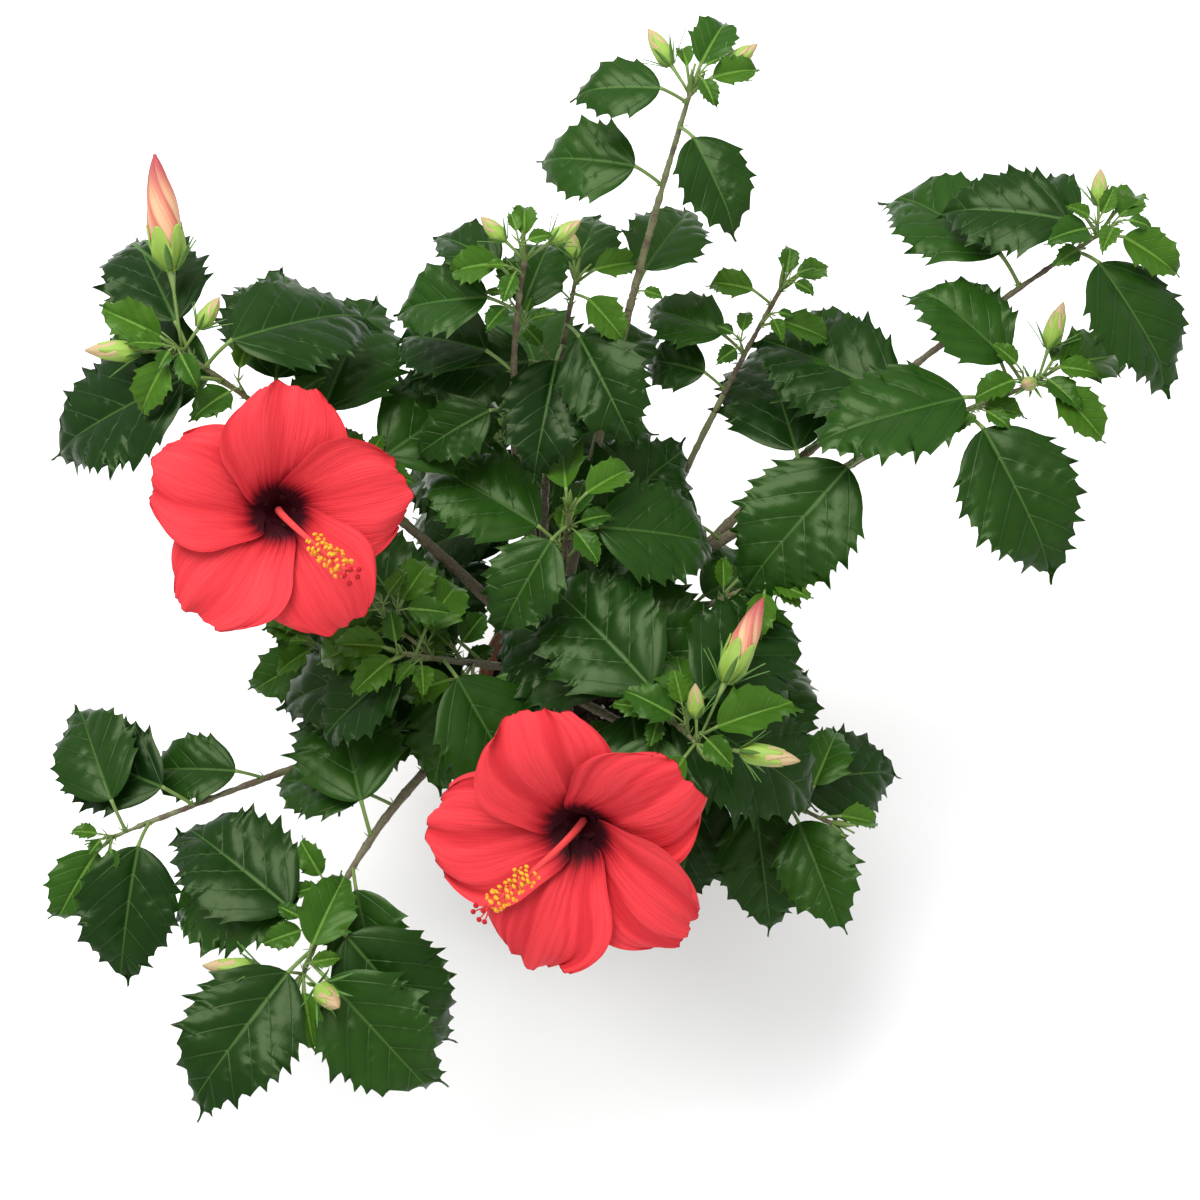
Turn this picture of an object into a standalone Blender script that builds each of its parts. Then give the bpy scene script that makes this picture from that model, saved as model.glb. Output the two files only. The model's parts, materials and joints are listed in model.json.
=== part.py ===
"""A young hibiscus shrub in a plain nursery pot, in metres, +Z up.

The origin is the centre of the pot's flat underside. A short woody trunk stands in the potting
soil and carries bare boughs. Each bough ends where its mass of foliage starts: one leafy stem
with side twigs, leaf stalks, toothed blades and flower buds, all fused into one solid. The two
open blooms stand on flowering twigs of their own.
"""

import math
import random
from collections import namedtuple

import bmesh
import bpy
from mathutils import Matrix, Vector
from mathutils.bvhtree import BVHTree

UP = Vector((0, 0, 1))
GAP = 0.0003  # clear space left between two pieces that meet

# The pot, a turned shell
POT_HEIGHT = 0.140
POT_RIM_RADIUS = 0.0750
POT_FOOT_RADIUS = 0.0550
POT_WALL = 0.0020
POT_BASE = 0.0025
RIM_DEPTH = 0.0140  # height of the thickened lip
RIM_STEP = 0.0030  # how far the lip stands out of the wall
POT_SIDES = 36
SOIL_LEVEL = 0.128

# The trunk, from its flat cut on the soil to its fork
TRUNK_FOOT = Vector((-0.033, 0.000, SOIL_LEVEL + GAP))
TRUNK_TIP = Vector((-0.030, 0.006, SOIL_LEVEL + 0.052))
TRUNK_RADIUS = 0.0085
FLARE = 0.0060  # extra radius of the root flare at the cut
FORK_RADIUS = 0.0060
TRUNK_SIDES = 10

# Limbs and stems
BOUGH_SIDES = 6
BOUGH_STEPS = 5
STEM_SIDES = 5
STEM_STEPS = 6
TWIG_SIDES = 3
TIP_RADIUS = 0.0011
JOINT_CLEARANCE = 0.0005  # from a limb's side to the foot of the limb that forks off it
COLLAR_SHARE = 0.12  # how far below a fork its parent's radius is read, as the parent tapers
STALK_RADIUS = 0.0009

# Leaves: shares of the blade's own length unless they say metres
BLADE_HALF_WIDTH = 0.33
BLADE_THICKNESS = 0.014
BLADE_FOLD = math.radians(16)  # how far each half rises from the midrib
BLADE_CUP = 0.22  # how far the margins turn down again
STALK_SHORTEST = 0.010  # metres
STALK_SHARE = 0.13
MIDRIB_STATIONS = (0.25, 0.55, 0.82)
SMALL_LEAF = 0.042  # metres: a shorter blade has fewer teeth
# Each side's outline: share along the blade, and share of the smooth outline's half width
SMALL_OUTLINE = ((0.12, 1.00), (0.46, 1.06), (0.51, 0.88), (0.78, 1.12), (0.84, 0.72))
OUTLINE = (
    (0.12, 1.00), (0.36, 1.06), (0.40, 0.88), (0.58, 1.08), (0.62, 0.84), (0.79, 1.14), (0.83, 0.70),
)

# Flower buds, from a small green one (stage 0) to one about to open (stage 1)
BUD_LENGTH = (0.013, 0.052)
BUD_RADIUS = (0.0034, 0.0075)
BUD_STALK = (0.012, 0.038)
BUD_SIDES = 6
BUD_PROFILE = ((0.00, 0.45), (0.16, 0.90), (0.38, 1.00), (0.68, 0.72), (0.90, 0.30))
BUD_NODE = 0.995  # where the buds' stalks leave the stem, as a share of its line

# Blooms
PETALS = 5
PETAL_THICKNESS = 0.0009
PETAL_ROWS = 4
PETAL_COLUMNS = 4
FUNNEL_DEPTH = 0.42  # from the bloom's centre down to its petals' claws, as a share of a petal
CALYX_DEPTH = 0.014  # from the claws down to the back of the calyx
ELBOW = 0.012  # the straight stretch of stalk behind the calyx
FLOWER_STALK_RADII = (0.0019, 0.0016, 0.0015, 0.0015)
# The calyx's height from its back, and its radius there
CALYX_PROFILE = ((-0.002, 0.0026), (0.006, 0.0062), (0.0152, 0.0070))
COLUMN_FOOT = 0.010
COLUMN_LENGTH = 0.066
COLUMN_RADIUS = 0.0014
COLUMN_SIDES = 6
CALYX_SIDES = 8
# The column's girth along its length, as multiples of its radius: bare, anthers, then stigmas
COLUMN_PROFILE = (
    (0.00, 1.5), (0.55, 1.0), (0.64, 2.8), (0.80, 3.6), (0.90, 2.4), (0.93, 1.2), (0.97, 2.4), (1.0, 1.4),
)

# A branch is the line of one bough and of the leafy stem that carries on from it.
#   parent, fork     the limb that it leaves, and the share of that limb's line where it does
#   tip              bearing from the pot's axis in degrees, reach and height in metres
#   arch, bow        how far the line's middle bulges upwards and to its left, in metres
#   bare             share of the line that is bare bough
#   radius           at the bough's foot
#   leaf             length of the largest leaf
#   young            about how many leaves at the tip are still small
#   crowding         how strongly the leaves gather towards the tip
#   headings         the way each leaf points, in degrees, from the stem's foot to its tip
#   buds             (heading, rise, stage) of each flower bud at the tip
Branch = namedtuple(
    "Branch", "name parent fork tip arch bow bare radius leaf young crowding headings buds"
)

BRANCHES = (
    Branch(
        "right", "trunk", 0.80, (24, 0.227, 0.350), 0.060, 0.012, 0.36, 0.0038, 0.088, 3.4, 3.2,
        (155, 105, -138, 144, -60, -160, 115, 124, 23, -47, 65),
        ((72, 40, 0.25), (225, 55, 0.0)),
    ),
    Branch(
        "far_right", "right", 0.30, (33, 0.277, 0.390), -0.005, 0.016, 0.54, 0.0028, 0.080, 2.6, 6.5,
        (159, 137, -60, 172, 150, -36, 86),
        ((88, 25, 0.1),),
    ),
    Branch(
        "back_right", "right", 0.17, (59, 0.162, 0.360), -0.020, 0.010, 0.70, 0.0024, 0.060, 2.6, 2.0,
        (147, 157, -14, 157, 28),
        (),
    ),
    Branch(
        "back", "trunk", 0.97, (79, 0.187, 0.460), 0.000, 0.010, 0.66, 0.0036, 0.058, 3.0, 5.5,
        (65, 162, -58, 178, 60, 20, 100),
        ((125, 20, 0.15), (35, 12, 0.2)),
    ),
    Branch(
        "front_right", "trunk", 0.88, (-61, 0.086, 0.300), 0.030, 0.008, 0.28, 0.0034, 0.098, 2.6, 1.8,
        (137, 8, -100, -25, 150, -110, 126, 49, 90, 26, -122),
        ((64, 22, 0.8), (-14, 15, 0.4), (93, 40, 0.1)),
    ),
    Branch(
        "left", "trunk", 0.90, (157, 0.215, 0.400), 0.020, -0.010, 0.55, 0.0036, 0.084, 1.7, 2.6,
        (40, 69, 98, 162, -160, 28, 119, 150, -122),
        ((96, 36, 1.0), (48, 30, 0.1), (190, 22, 0.3)),
    ),
    Branch(
        "front_left", "trunk", 0.62, (231, 0.232, 0.270), 0.030, -0.034, 0.42, 0.0036, 0.082, 1.8, 2.6,
        (96, 167, 106, -80, 180, -50, 137, -128, -40, -120, 67, -80),
        ((178, 15, 0.35), (-45, 50, 0.35), (-88, 5, 0.1)),
    ),
    Branch(
        "far_left", "trunk", 0.48, (203, 0.271, 0.240), 0.020, 0.000, 0.66, 0.0030, 0.074, 1.5, 3.5,
        (178, 162, -92, 115, 240, -95),
        (),
    ),
    Branch(
        "inner_back", "trunk", 0.64, (97, 0.136, 0.375), -0.020, 0.020, 0.42, 0.0032, 0.076, 2.6, 1.8,
        (30, 170, -60, 150, -5, 200, -100, -58, 82, -47, 20),
        ((95, 45, 0.0),),
    ),
    Branch(
        "back_left", "inner_back", 0.30, (108, 0.127, 0.420), 0.000, 0.020, 0.55, 0.0026, 0.062, 2.2, 2.0,
        (205, 150, 56, 172, 139, -177, 90),
        ((30, 20, 0.1), (143, 30, 0.05)),
    ),
    Branch(
        "inner_left", "trunk", 0.79, (196, 0.105, 0.300), -0.005, 0.000, 0.40, 0.0028, 0.084, 2.2, 1.3,
        (60, 150, 250, 100, 190, -60, 130, 225, 60, 180),
        (),
    ),
    Branch(
        "front", "trunk", 0.54, (262, 0.100, 0.285), -0.020, 0.000, 0.45, 0.0032, 0.070, 1.8, 1.8,
        (185, -35, -130, 100, -75, 215, 20),
        (),
    ),
    Branch(
        "low_right", "trunk", 0.40, (-40, 0.148, 0.225), -0.010, 0.000, 0.50, 0.0028, 0.070, 1.5, 1.2,
        (-150, -100, 60, -80, 20, -60, 60, -50),
        (),
    ),
    Branch(
        "inner_right", "trunk", 0.60, (8, 0.084, 0.300), 0.010, 0.000, 0.50, 0.0028, 0.076, 2.2, 1.2,
        (-100, 30, -150, 60, -60, 20, -105),
        (),
    ),
    Branch(
        "middle", "trunk", 1.00, (120, 0.040, 0.330), 0.000, 0.000, 0.12, 0.0030, 0.092, 2.6, 1.8,
        (20, 175, 120, -40, 60, 140, 0, 235, 100, 40),
        (),
    ),
    Branch(
        "low_left", "trunk", 0.26, (180, 0.155, 0.225), -0.010, 0.000, 0.36, 0.0028, 0.076, 1.5, 1.2,
        (120, 230, -100, 60, 150, 250, 95, 205, 175),
        (),
    ),
    Branch(
        "low_back", "trunk", 0.34, (112, 0.150, 0.240), -0.010, 0.000, 0.34, 0.0028, 0.076, 1.8, 1.2,
        (30, 150, 80, 200, -40, 110, 20, 170, 60, 120),
        (),
    ),
)

# A flowering twig: parent, fork, the bloom's centre as bearing, reach and height, the way it
# faces as heading and rise, the turn of its first petal, its petals' length, and how far its
# column's end leans to the right and down.
Bloom = namedtuple("Bloom", "name parent fork centre facing turn petal lean")

BLOOMS = (
    Bloom("bloom_left", "left", 0.56, (177, 0.151, 0.385), (-72, 60), 68, 0.061, (0.024, 0.030)),
    Bloom("bloom_front", "front", 0.58, (262, 0.140, 0.350), (-109, 48), 50, 0.067, (-0.026, 0.024)),
)

# How leaves and twigs are set, all in degrees unless they say otherwise
SPREAD = 7  # seeded spread of a leaf's heading, pitch and roll
STALK_RISE = 38
BLADE_PITCH = -7  # the blade's slope where it leaves its stalk
BLADE_BEND = 28  # how much further it slopes at its tip
# What a leaf tries when it meets something, as heading and slope
TURNS = (
    (0, 0), (0, 12), (0, -12), (10, 20), (-10, 20), (12, -16), (-12, -16),
    (26, 6), (-26, 6), (44, 0), (-44, 0),
)
SIZES = (1, 0.88, 0.74)  # and the sizes that it tries in each turn
CLEARANCE = 0.0005  # metres, kept free above and below a blade
TEST_WIDTH = 1.05  # and how much wider the blade is made for that trial
TWIG_CROWDING = 1.5  # side twigs grow on stems whose leaves stand evenly along them
TWIG_EVERY = 4  # with every fourth leaf
TWIG_LENGTH = 0.034
TWIG_RISE = 52
TWIG_LEAF = 0.46  # its leaves, as a share of the branch's largest
# Each leaf of a side twig: its share along the twig, and the way it points from the twig's own leaf
TWIG_LEAVES = ((0.55, 70), (0.80, -60), (0.97, 10))

Leaf = namedtuple("Leaf", "node base heading pitch bend roll length")


def direction(heading, rise=0.0):
    """A unit vector from a compass heading and a rise above level, in degrees."""
    turn = math.radians(heading)
    lift = math.radians(rise)
    return Vector((math.cos(turn) * math.cos(lift), math.sin(turn) * math.cos(lift), math.sin(lift)))


def place(bearing, reach, height):
    return direction(bearing) * reach + UP * height


def between(ends, share):
    return ends[0] + (ends[1] - ends[0]) * share


class Line:
    """A limb's curved centre line with its radius and the flare at its foot."""

    def __init__(self, foot, middle, tip, foot_radius, tip_radius, flare=0.0):
        self.points = (foot, middle, tip)
        self.radii = (foot_radius, tip_radius)
        self.flare = flare

    def at(self, share):
        foot, middle, tip = self.points
        return foot * (1 - share) ** 2 + middle * 2 * share * (1 - share) + tip * share**2

    def along(self, share):
        foot, middle, tip = self.points
        return ((middle - foot) * (1 - share) + (tip - middle) * share).normalized()

    def radius(self, share):
        return between(self.radii, share) + self.flare * (1 - share) ** 14


class Surface:
    """Points and faces of a closed body, gathered piece by piece."""

    def __init__(self):
        self.points = []
        self.faces = []

    def add(self, points):
        first = len(self.points)
        self.points.extend(points)
        return list(range(first, len(self.points)))

    def band(self, lower, upper):
        """Quads between two rings of equal count, which run the same way round."""
        for here, there in zip(range(len(lower)), [*range(1, len(lower)), 0]):
            self.faces.append((lower[here], lower[there], upper[there], upper[here]))

    def fan(self, ring, centre):
        for here, there in zip(ring, ring[1:] + ring[:1]):
            self.faces.append((here, there, centre))

    def tree(self):
        return BVHTree.FromPolygons(self.points, self.faces)

    def to_object(self, name, collection=None):
        mesh = bpy.data.meshes.new(name)
        mesh.from_pydata(self.points, [], self.faces)
        work = bmesh.new()
        work.from_mesh(mesh)
        bmesh.ops.recalc_face_normals(work, faces=work.faces)
        bmesh.ops.triangulate(work, faces=work.faces)
        work.to_mesh(mesh)
        work.free()
        thing = bpy.data.objects.new(name, mesh)
        (collection or bpy.context.scene.collection).objects.link(thing)
        return thing


def ring(centre, axis, side, radius, sides):
    """Points of a regular ring round an axis; side is any direction across the axis."""
    other = axis.cross(side).normalized()
    across = other.cross(axis)
    turns = [2 * math.pi * step / sides for step in range(sides)]
    return [centre + (across * math.cos(turn) + other * math.sin(turn)) * radius for turn in turns]


def tube(centres, radii, sides, foot=None):
    """A closed round limb. foot is a plane, as point and normal, that cuts its lower end."""
    body = Surface()
    side = Vector((0.31, 0.95, 0.05))
    rings = []
    for index, (centre, radius) in enumerate(zip(centres, radii)):
        before = centres[max(index - 1, 0)]
        after = centres[min(index + 1, len(centres) - 1)]
        axis = (after - before).normalized()
        points = ring(centre, axis, side, radius, sides)
        if foot and index == 0:
            point, normal = foot
            slope = axis.dot(normal)
            points = [p + axis * ((point - p).dot(normal) / slope) for p in points]
        side = points[0] - centre
        rings.append(body.add(points))
    for lower, upper in zip(rings, rings[1:]):
        body.band(lower, upper)
    body.faces.append(tuple(reversed(rings[0])))
    body.faces.append(tuple(rings[-1]))
    return body


def limb(line, start, end, sides, steps, foot=None):
    """The stretch of a line from start, or from where it crosses the plane of its foot, to end."""
    while foot and (line.at(start) - foot[0]).dot(foot[1]) < 0:
        start += 0.002
    shares = [start + (end - start) * step / steps for step in range(steps + 1)]
    return tube([line.at(s) for s in shares], [line.radius(s) for s in shares], sides, foot)


# Branches: their lines, and the plane on which each one's foot ends


def branch_line(branch, lines):
    parent = lines[branch.parent]
    start = parent.at(branch.fork)
    tip = place(*branch.tip)
    level = (tip - start) - UP * (tip - start).z
    left = UP.cross(level.normalized())
    middle = (start + tip) / 2 + UP * branch.arch + left * branch.bow
    grain = parent.along(branch.fork)
    if branch.fork == 1:  # it carries on from its parent's tip
        start = start + grain * GAP
        return Line(start, middle, tip, branch.radius, TIP_RADIUS), (start, grain)
    line = Line(start, middle, tip, branch.radius, TIP_RADIUS)
    outward = line.along(0)
    normal = (outward - grain * outward.dot(grain)).normalized()
    skin = start + normal * (parent.radius(branch.fork - COLLAR_SHARE) + JOINT_CLEARANCE)
    return line, (skin, normal)


# Leaves


def half_width(along):
    """The smooth outline's half width at a share of the blade's length, as a share of that length."""
    return BLADE_HALF_WIDTH * math.sin(math.pi * along**0.72) ** 0.85


def blade_frame(leaf, along):
    """The midrib's point, the way across the blade and the way up out of it."""
    forward = direction(leaf.heading)
    start = math.radians(leaf.pitch)
    bend = math.radians(leaf.bend)
    slope = start - bend * along
    run = (math.sin(start) - math.sin(slope)) / bend
    lift = (math.cos(slope) - math.cos(start)) / bend
    midrib = leaf.base + (forward * run + UP * lift) * leaf.length
    tangent = forward * math.cos(slope) + UP * math.sin(slope)
    across = Matrix.Rotation(math.radians(leaf.roll), 3, tangent) @ UP.cross(forward)
    return midrib, across, tangent.cross(across)


def blade_point(leaf, along, side):
    """A point of the blade's middle surface: side is 0 on the midrib, and -1 or 1 on the margins."""
    midrib, across, up = blade_frame(leaf, along)
    half = half_width(along) * leaf.length
    level = side * half * math.cos(BLADE_FOLD)
    rise = abs(side) * half * math.sin(BLADE_FOLD) - side * side * half * BLADE_CUP
    return midrib + across * level + up * rise


def leaf_body(leaf, thickness, width=1.0, start=0.0):
    """Stalk and blade as one closed body, thickest on the midrib and sharp at the toothed margin.

    start is the share of the stalk that is left out at the stem.
    """
    body = Surface()
    _, across, up = blade_frame(leaf, 0)
    spokes = (-across, up, across, -up)
    rings = []
    for centre in (leaf.node.lerp(leaf.base, start), leaf.base):
        rings.append(body.add([centre + spoke * STALK_RADIUS for spoke in spokes]))
    body.faces.append(tuple(rings[0]))
    body.band(*rings)
    (tip,) = body.add([blade_point(leaf, 1, 0)])
    left, top, right, bottom = rings[1]
    outline = OUTLINE if leaf.length > SMALL_LEAF else SMALL_OUTLINE
    shares = [along for along, _ in outline]
    margins = []
    for side, first in ((-1, left), (1, right)):
        points = [blade_point(leaf, along, side * share * width) for along, share in outline]
        margins.append([(0, first), *zip(shares, body.add(points)), (1, tip)])
    for offset, first in ((thickness / 2, top), (-thickness / 2, bottom)):
        points = []
        for along in MIDRIB_STATIONS:
            midrib, _, normal = blade_frame(leaf, along)
            points.append(midrib + normal * offset)
        chain = [(0, first), *zip(MIDRIB_STATIONS, body.add(points)), (1, tip)]
        for margin in margins:
            zip_up(body, margin, chain)
    return body


def zip_up(body, one, other):
    """Triangles between two chains of (share, point) that start and end together."""
    i = j = 0
    while i < len(one) - 1 or j < len(other) - 1:
        step_one = j == len(other) - 1 or (i < len(one) - 1 and one[i + 1][0] <= other[j + 1][0])
        a, b = one[i][1], other[j][1]
        if step_one:
            i += 1
        else:
            j += 1
        c = one[i][1] if step_one else other[j][1]
        if len({a, b, c}) == 3:
            body.faces.append((a, b, c))


def make_leaf(node, heading, length, draw, turn=(0, 0)):
    """A leaf on its stalk. draw holds the seeded shares of its spread, from -1 to 1."""
    heading = heading + draw[0] * SPREAD + turn[0]
    pitch = BLADE_PITCH + draw[1] * SPREAD + turn[1]
    base = node + direction(heading, STALK_RISE) * (STALK_SHORTEST + STALK_SHARE * length)
    return Leaf(node, base, heading, pitch, BLADE_BEND, draw[2] * SPREAD * 2, length)


def size_from_tip(number, young):
    """A leaf's size by how many leaves lie between it and the stem's tip."""
    return 1 - 0.66 * math.exp(-((number / young) ** 2))


class Clearance:
    """What has grown so far, by owner, to try the next piece against."""

    def __init__(self):
        self.trees = []

    def add(self, owner, *bodies):
        self.trees.extend((owner, body.tree()) for body in bodies)

    def free(self, body, owner=None, own=True):
        """Whether the body touches nothing of this owner, or nothing of any other."""
        tried = body.tree()
        return not any(
            tree.overlap(tried) for name, tree in self.trees if (name == owner) == own
        )


def set_leaf(owner, node, heading, length, draw, grown):
    """The leaf in the first turn in which it touches nothing, or None."""
    for turn in TURNS:
        for size in SIZES:
            leaf = make_leaf(node, heading, length * size, draw, turn)
            thick = length * size * BLADE_THICKNESS
            if not grown.free(leaf_body(leaf, thick, 1.0, 0.5), owner):
                continue
            if grown.free(leaf_body(leaf, thick + 2 * CLEARANCE, TEST_WIDTH), owner, own=False):
                grown.add(owner, leaf_body(leaf, thick, 1.0, 0.4))
                return leaf
    return None


# Buds


def bud_bodies(node, heading, rise, stage):
    """A flower bud and its stalk."""
    out = direction(heading, rise)
    base = node + out * between(BUD_STALK, stage)
    length = between(BUD_LENGTH, stage)
    girth = between(BUD_RADIUS, stage)
    centres = [base + out * length * share for share, _ in BUD_PROFILE]
    radii = [girth * share for _, share in BUD_PROFILE]
    body = tube(centres, radii, BUD_SIDES)
    root = tube([node, base + out * length * 0.1], [STALK_RADIUS, STALK_RADIUS * 1.2], TWIG_SIDES)
    return root, body


# Blooms


class Flower:
    """An open bloom's own frame, with its axis out of the throat."""

    def __init__(self, bloom):
        self.centre = place(*bloom.centre)
        self.axis = direction(*bloom.facing)
        self.right = UP.cross(self.axis).normalized()
        self.up = self.axis.cross(self.right)
        self.petal = bloom.petal
        self.turn = bloom.turn
        self.depth = bloom.petal * FUNNEL_DEPTH
        self.back = self.centre - self.axis * (self.depth + CALYX_DEPTH)
        self.lean = self.right * bloom.lean[0] - self.up * bloom.lean[1]

    def at(self, radius, turn, height):
        spoke = self.right * math.cos(turn) + self.up * math.sin(turn)
        return self.centre + spoke * radius + self.axis * height

    def column_point(self, along):
        rise = self.axis * (COLUMN_FOOT + COLUMN_LENGTH * along)
        return self.back + rise + self.lean * along**1.6

    def petal_point(self, number, along, side):
        """A point of a petal: along from its claw to its rim, side from -1 to 1."""
        turn = math.radians(self.turn + 360 / PETALS * number)
        radius = self.petal * (0.09 + 0.91 * along)
        half = self.petal * petal_half_width(along)
        lift = self.depth * (1 - (1 - along) ** 2.4) - self.depth
        lift += self.petal * (0.055 * side * (0.4 + along) - 0.10 * along**5)
        spread = side * half / max(radius, self.petal * 0.2)
        return self.at(radius * (1 - 0.10 * side * side * along), turn + spread, lift)


def petal_half_width(along):
    """Half the petal's width as a share of its length: a narrow claw that opens to a round blade."""
    opening = 0.09 + 0.48 * math.sin(math.pi / 2 * min(along / 0.72, 1)) ** 1.4
    closing = math.sqrt(max(1 - max((along - 0.72) / 0.34, 0) ** 2.2, 0))
    return opening * closing


def petal(flower, number):
    """One petal as a closed shell of even thickness."""
    body = Surface()
    layers = []
    for offset in (PETAL_THICKNESS / 2, -PETAL_THICKNESS / 2):
        layer = []
        for row in range(PETAL_ROWS + 1):
            along = row / PETAL_ROWS
            sides = [2 * column / PETAL_COLUMNS - 1 for column in range(PETAL_COLUMNS + 1)]
            points = [flower.petal_point(number, along, side) + flower.axis * offset for side in sides]
            layer.append(body.add(points))
        layers.append(layer)
        for low, high in zip(layer, layer[1:]):
            for column in range(PETAL_COLUMNS):
                body.faces.append((low[column], low[column + 1], high[column + 1], high[column]))
    upper, lower = (rim_of(layer) for layer in layers)
    body.band(upper, lower)
    return body


def rim_of(layer):
    """The indices round the edge of a grid of points."""
    right = [row[-1] for row in layer[1:]]
    top = list(reversed(layer[-1][:-1]))
    left = [row[0] for row in reversed(layer[1:-1])]
    return [*layer[0], *right, *top, *left]


def bloom_bodies(bloom, lines):
    """The flowering twig's stalk, calyx, petals and column."""
    flower = Flower(bloom)
    parent = lines[bloom.parent]
    start = parent.at(bloom.fork)
    outward = (flower.back - start).normalized()
    grain = parent.along(bloom.fork)
    normal = (outward - grain * outward.dot(grain)).normalized()
    skin = start + normal * (parent.radius(bloom.fork) + JOINT_CLEARANCE)
    elbow = flower.back - flower.axis * ELBOW
    ends = [start, start.lerp(elbow, 0.5), elbow, flower.back]
    twig = tube(ends, FLOWER_STALK_RADII, STEM_SIDES, (skin, normal))
    heights, radii = zip(*CALYX_PROFILE)
    calyx = tube([flower.back + flower.axis * height for height in heights], radii, CALYX_SIDES)
    centres = [flower.column_point(share) for share, _ in COLUMN_PROFILE]
    column = tube(centres, [COLUMN_RADIUS * girth for _, girth in COLUMN_PROFILE], COLUMN_SIDES)
    return [twig, calyx, column, *(petal(flower, number) for number in range(PETALS))]


# Growth


def stem_bodies(branch, line):
    """The leafy stem that carries on from a bough, with its buds."""
    start = branch.bare
    step = GAP / (line.at(start + 0.01) - line.at(start)).length * 0.01
    bodies = [limb(line, start + step, 1.0, STEM_SIDES, STEM_STEPS)]
    for heading, rise, stage in branch.buds:
        bodies.extend(bud_bodies(line.at(BUD_NODE), heading, rise, stage))
    return bodies


def leaves_of(branch, line, seed, grown):
    """The leaves and side twigs of a branch's mass."""
    owner = f"foliage_{branch.name}"
    seeded = random.Random(seed)
    leaves, twigs = [], []
    count = len(branch.headings)
    for index, heading in enumerate(branch.headings):
        share = 1 - (1 - index / count) ** branch.crowding
        node = line.at(branch.bare + (1 - branch.bare) * (0.03 + 0.965 * share))
        draw = [seeded.uniform(-1, 1) for _ in range(3)]
        length = branch.leaf * size_from_tip(count - 1 - index, branch.young)
        leaves.append(set_leaf(owner, node, heading, length, draw, grown))
        if branch.crowding < TWIG_CROWDING and index % TWIG_EVERY == 2:
            twigs.extend(side_twig(owner, branch.leaf, node, heading, seeded, grown, leaves))
    return [leaf for leaf in leaves if leaf], twigs


def side_twig(owner, largest, node, heading, seeded, grown, leaves):
    """A short twig in a leaf's axil, with three small leaves, where there is room for it."""
    out = direction(heading + seeded.uniform(15, 40), TWIG_RISE)
    length = TWIG_LENGTH * seeded.uniform(0.8, 1.2)
    draws = [[seeded.uniform(-1, 1) for _ in range(3)] for _ in TWIG_LEAVES]
    twig = tube([node, node + out * length], [TIP_RADIUS, TIP_RADIUS * 0.7], TWIG_SIDES)
    # Stouter copies to try for room: one is clear of its own stem, the other starts in it
    near = tube([node + out * 0.006, node + out * (length + 0.002)], [TIP_RADIUS * 1.6] * 2, TWIG_SIDES)
    far = tube([node, node + out * (length + 0.002)], [TIP_RADIUS * 1.6] * 2, TWIG_SIDES)
    if not grown.free(near, owner) or not grown.free(far, owner, own=False):
        return []
    grown.add(owner, near)
    for number, (share, turn) in enumerate(TWIG_LEAVES):
        size = largest * TWIG_LEAF * (1 - 0.2 * number)
        foot = node + out * length * share
        leaves.append(set_leaf(owner, foot, heading + turn, size, draws[number], grown))
    return [twig]


def fuse(name, bodies):
    """One object from overlapping bodies, by a Boolean union on a collection."""
    rest = bpy.data.collections.new(f"{name}_parts")
    bpy.context.scene.collection.children.link(rest)
    whole = bodies[0].to_object(name)
    for number, body in enumerate(bodies[1:]):
        body.to_object(f"{name}_{number}", rest)
    union = whole.modifiers.new("fuse", "BOOLEAN")
    union.operation = "UNION"
    union.operand_type = "COLLECTION"
    union.collection = rest
    union.solver = "MANIFOLD"
    bpy.context.view_layer.objects.active = whole
    bpy.ops.object.modifier_apply(modifier=union.name)
    for part in list(rest.objects):
        bpy.data.objects.remove(part)
    bpy.data.collections.remove(rest)
    keep_largest(whole.data)
    return whole


def keep_largest(mesh):
    """Keeps the largest connected body, so no loose scrap or sealed hollow is left."""
    work = bmesh.new()
    work.from_mesh(mesh)
    left = set(work.verts)
    islands = []
    while left:
        island = {left.pop()}
        edge = set(island)
        while edge:
            edge = {e.other_vert(v) for v in edge for e in v.link_edges} & left
            island |= edge
            left -= edge
        islands.append(island)
    largest = max(islands, key=len)
    bmesh.ops.delete(work, geom=[v for v in work.verts if v not in largest], context="VERTS")
    work.to_mesh(mesh)
    work.free()


# Pot, soil and trunk


def turned(name, profile, sides=POT_SIDES):
    """A solid of revolution from an outline of (radius, height) that starts and ends on the axis."""
    body = Surface()
    rings = []
    for radius, height in profile[1:-1]:
        rings.append(body.add(ring(UP * height, UP, Vector((1, 0, 0)), radius, sides)))
    first, last = body.add([UP * profile[0][1], UP * profile[-1][1]])
    body.fan(rings[0], first)
    for lower, upper in zip(rings, rings[1:]):
        body.band(lower, upper)
    body.fan(rings[-1], last)
    return body.to_object(name), body


def wall_radius(height):
    """The pot wall's outer radius under the lip."""
    top = POT_RIM_RADIUS - RIM_STEP
    return POT_FOOT_RADIUS + (top - POT_FOOT_RADIUS) * height / POT_HEIGHT


def make_pot():
    lip = POT_HEIGHT - RIM_DEPTH
    profile = (
        (0, 0),
        (POT_FOOT_RADIUS, 0),
        (wall_radius(lip), lip),
        (POT_RIM_RADIUS - 0.0008, lip + 0.0006),
        (POT_RIM_RADIUS, POT_HEIGHT - 0.0012),
        (POT_RIM_RADIUS - 0.0010, POT_HEIGHT),
        (wall_radius(POT_HEIGHT) - POT_WALL, POT_HEIGHT),
        (wall_radius(POT_BASE) - POT_WALL, POT_BASE),
        (0, POT_BASE),
    )
    return turned("pot", profile)


def make_soil():
    low = POT_BASE + GAP
    inner = POT_WALL + GAP * 2
    profile = (
        (0, low),
        (wall_radius(low) - inner, low),
        (wall_radius(SOIL_LEVEL) - inner, SOIL_LEVEL),
        (0, SOIL_LEVEL),
    )
    return turned("potting_soil", profile)


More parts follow.
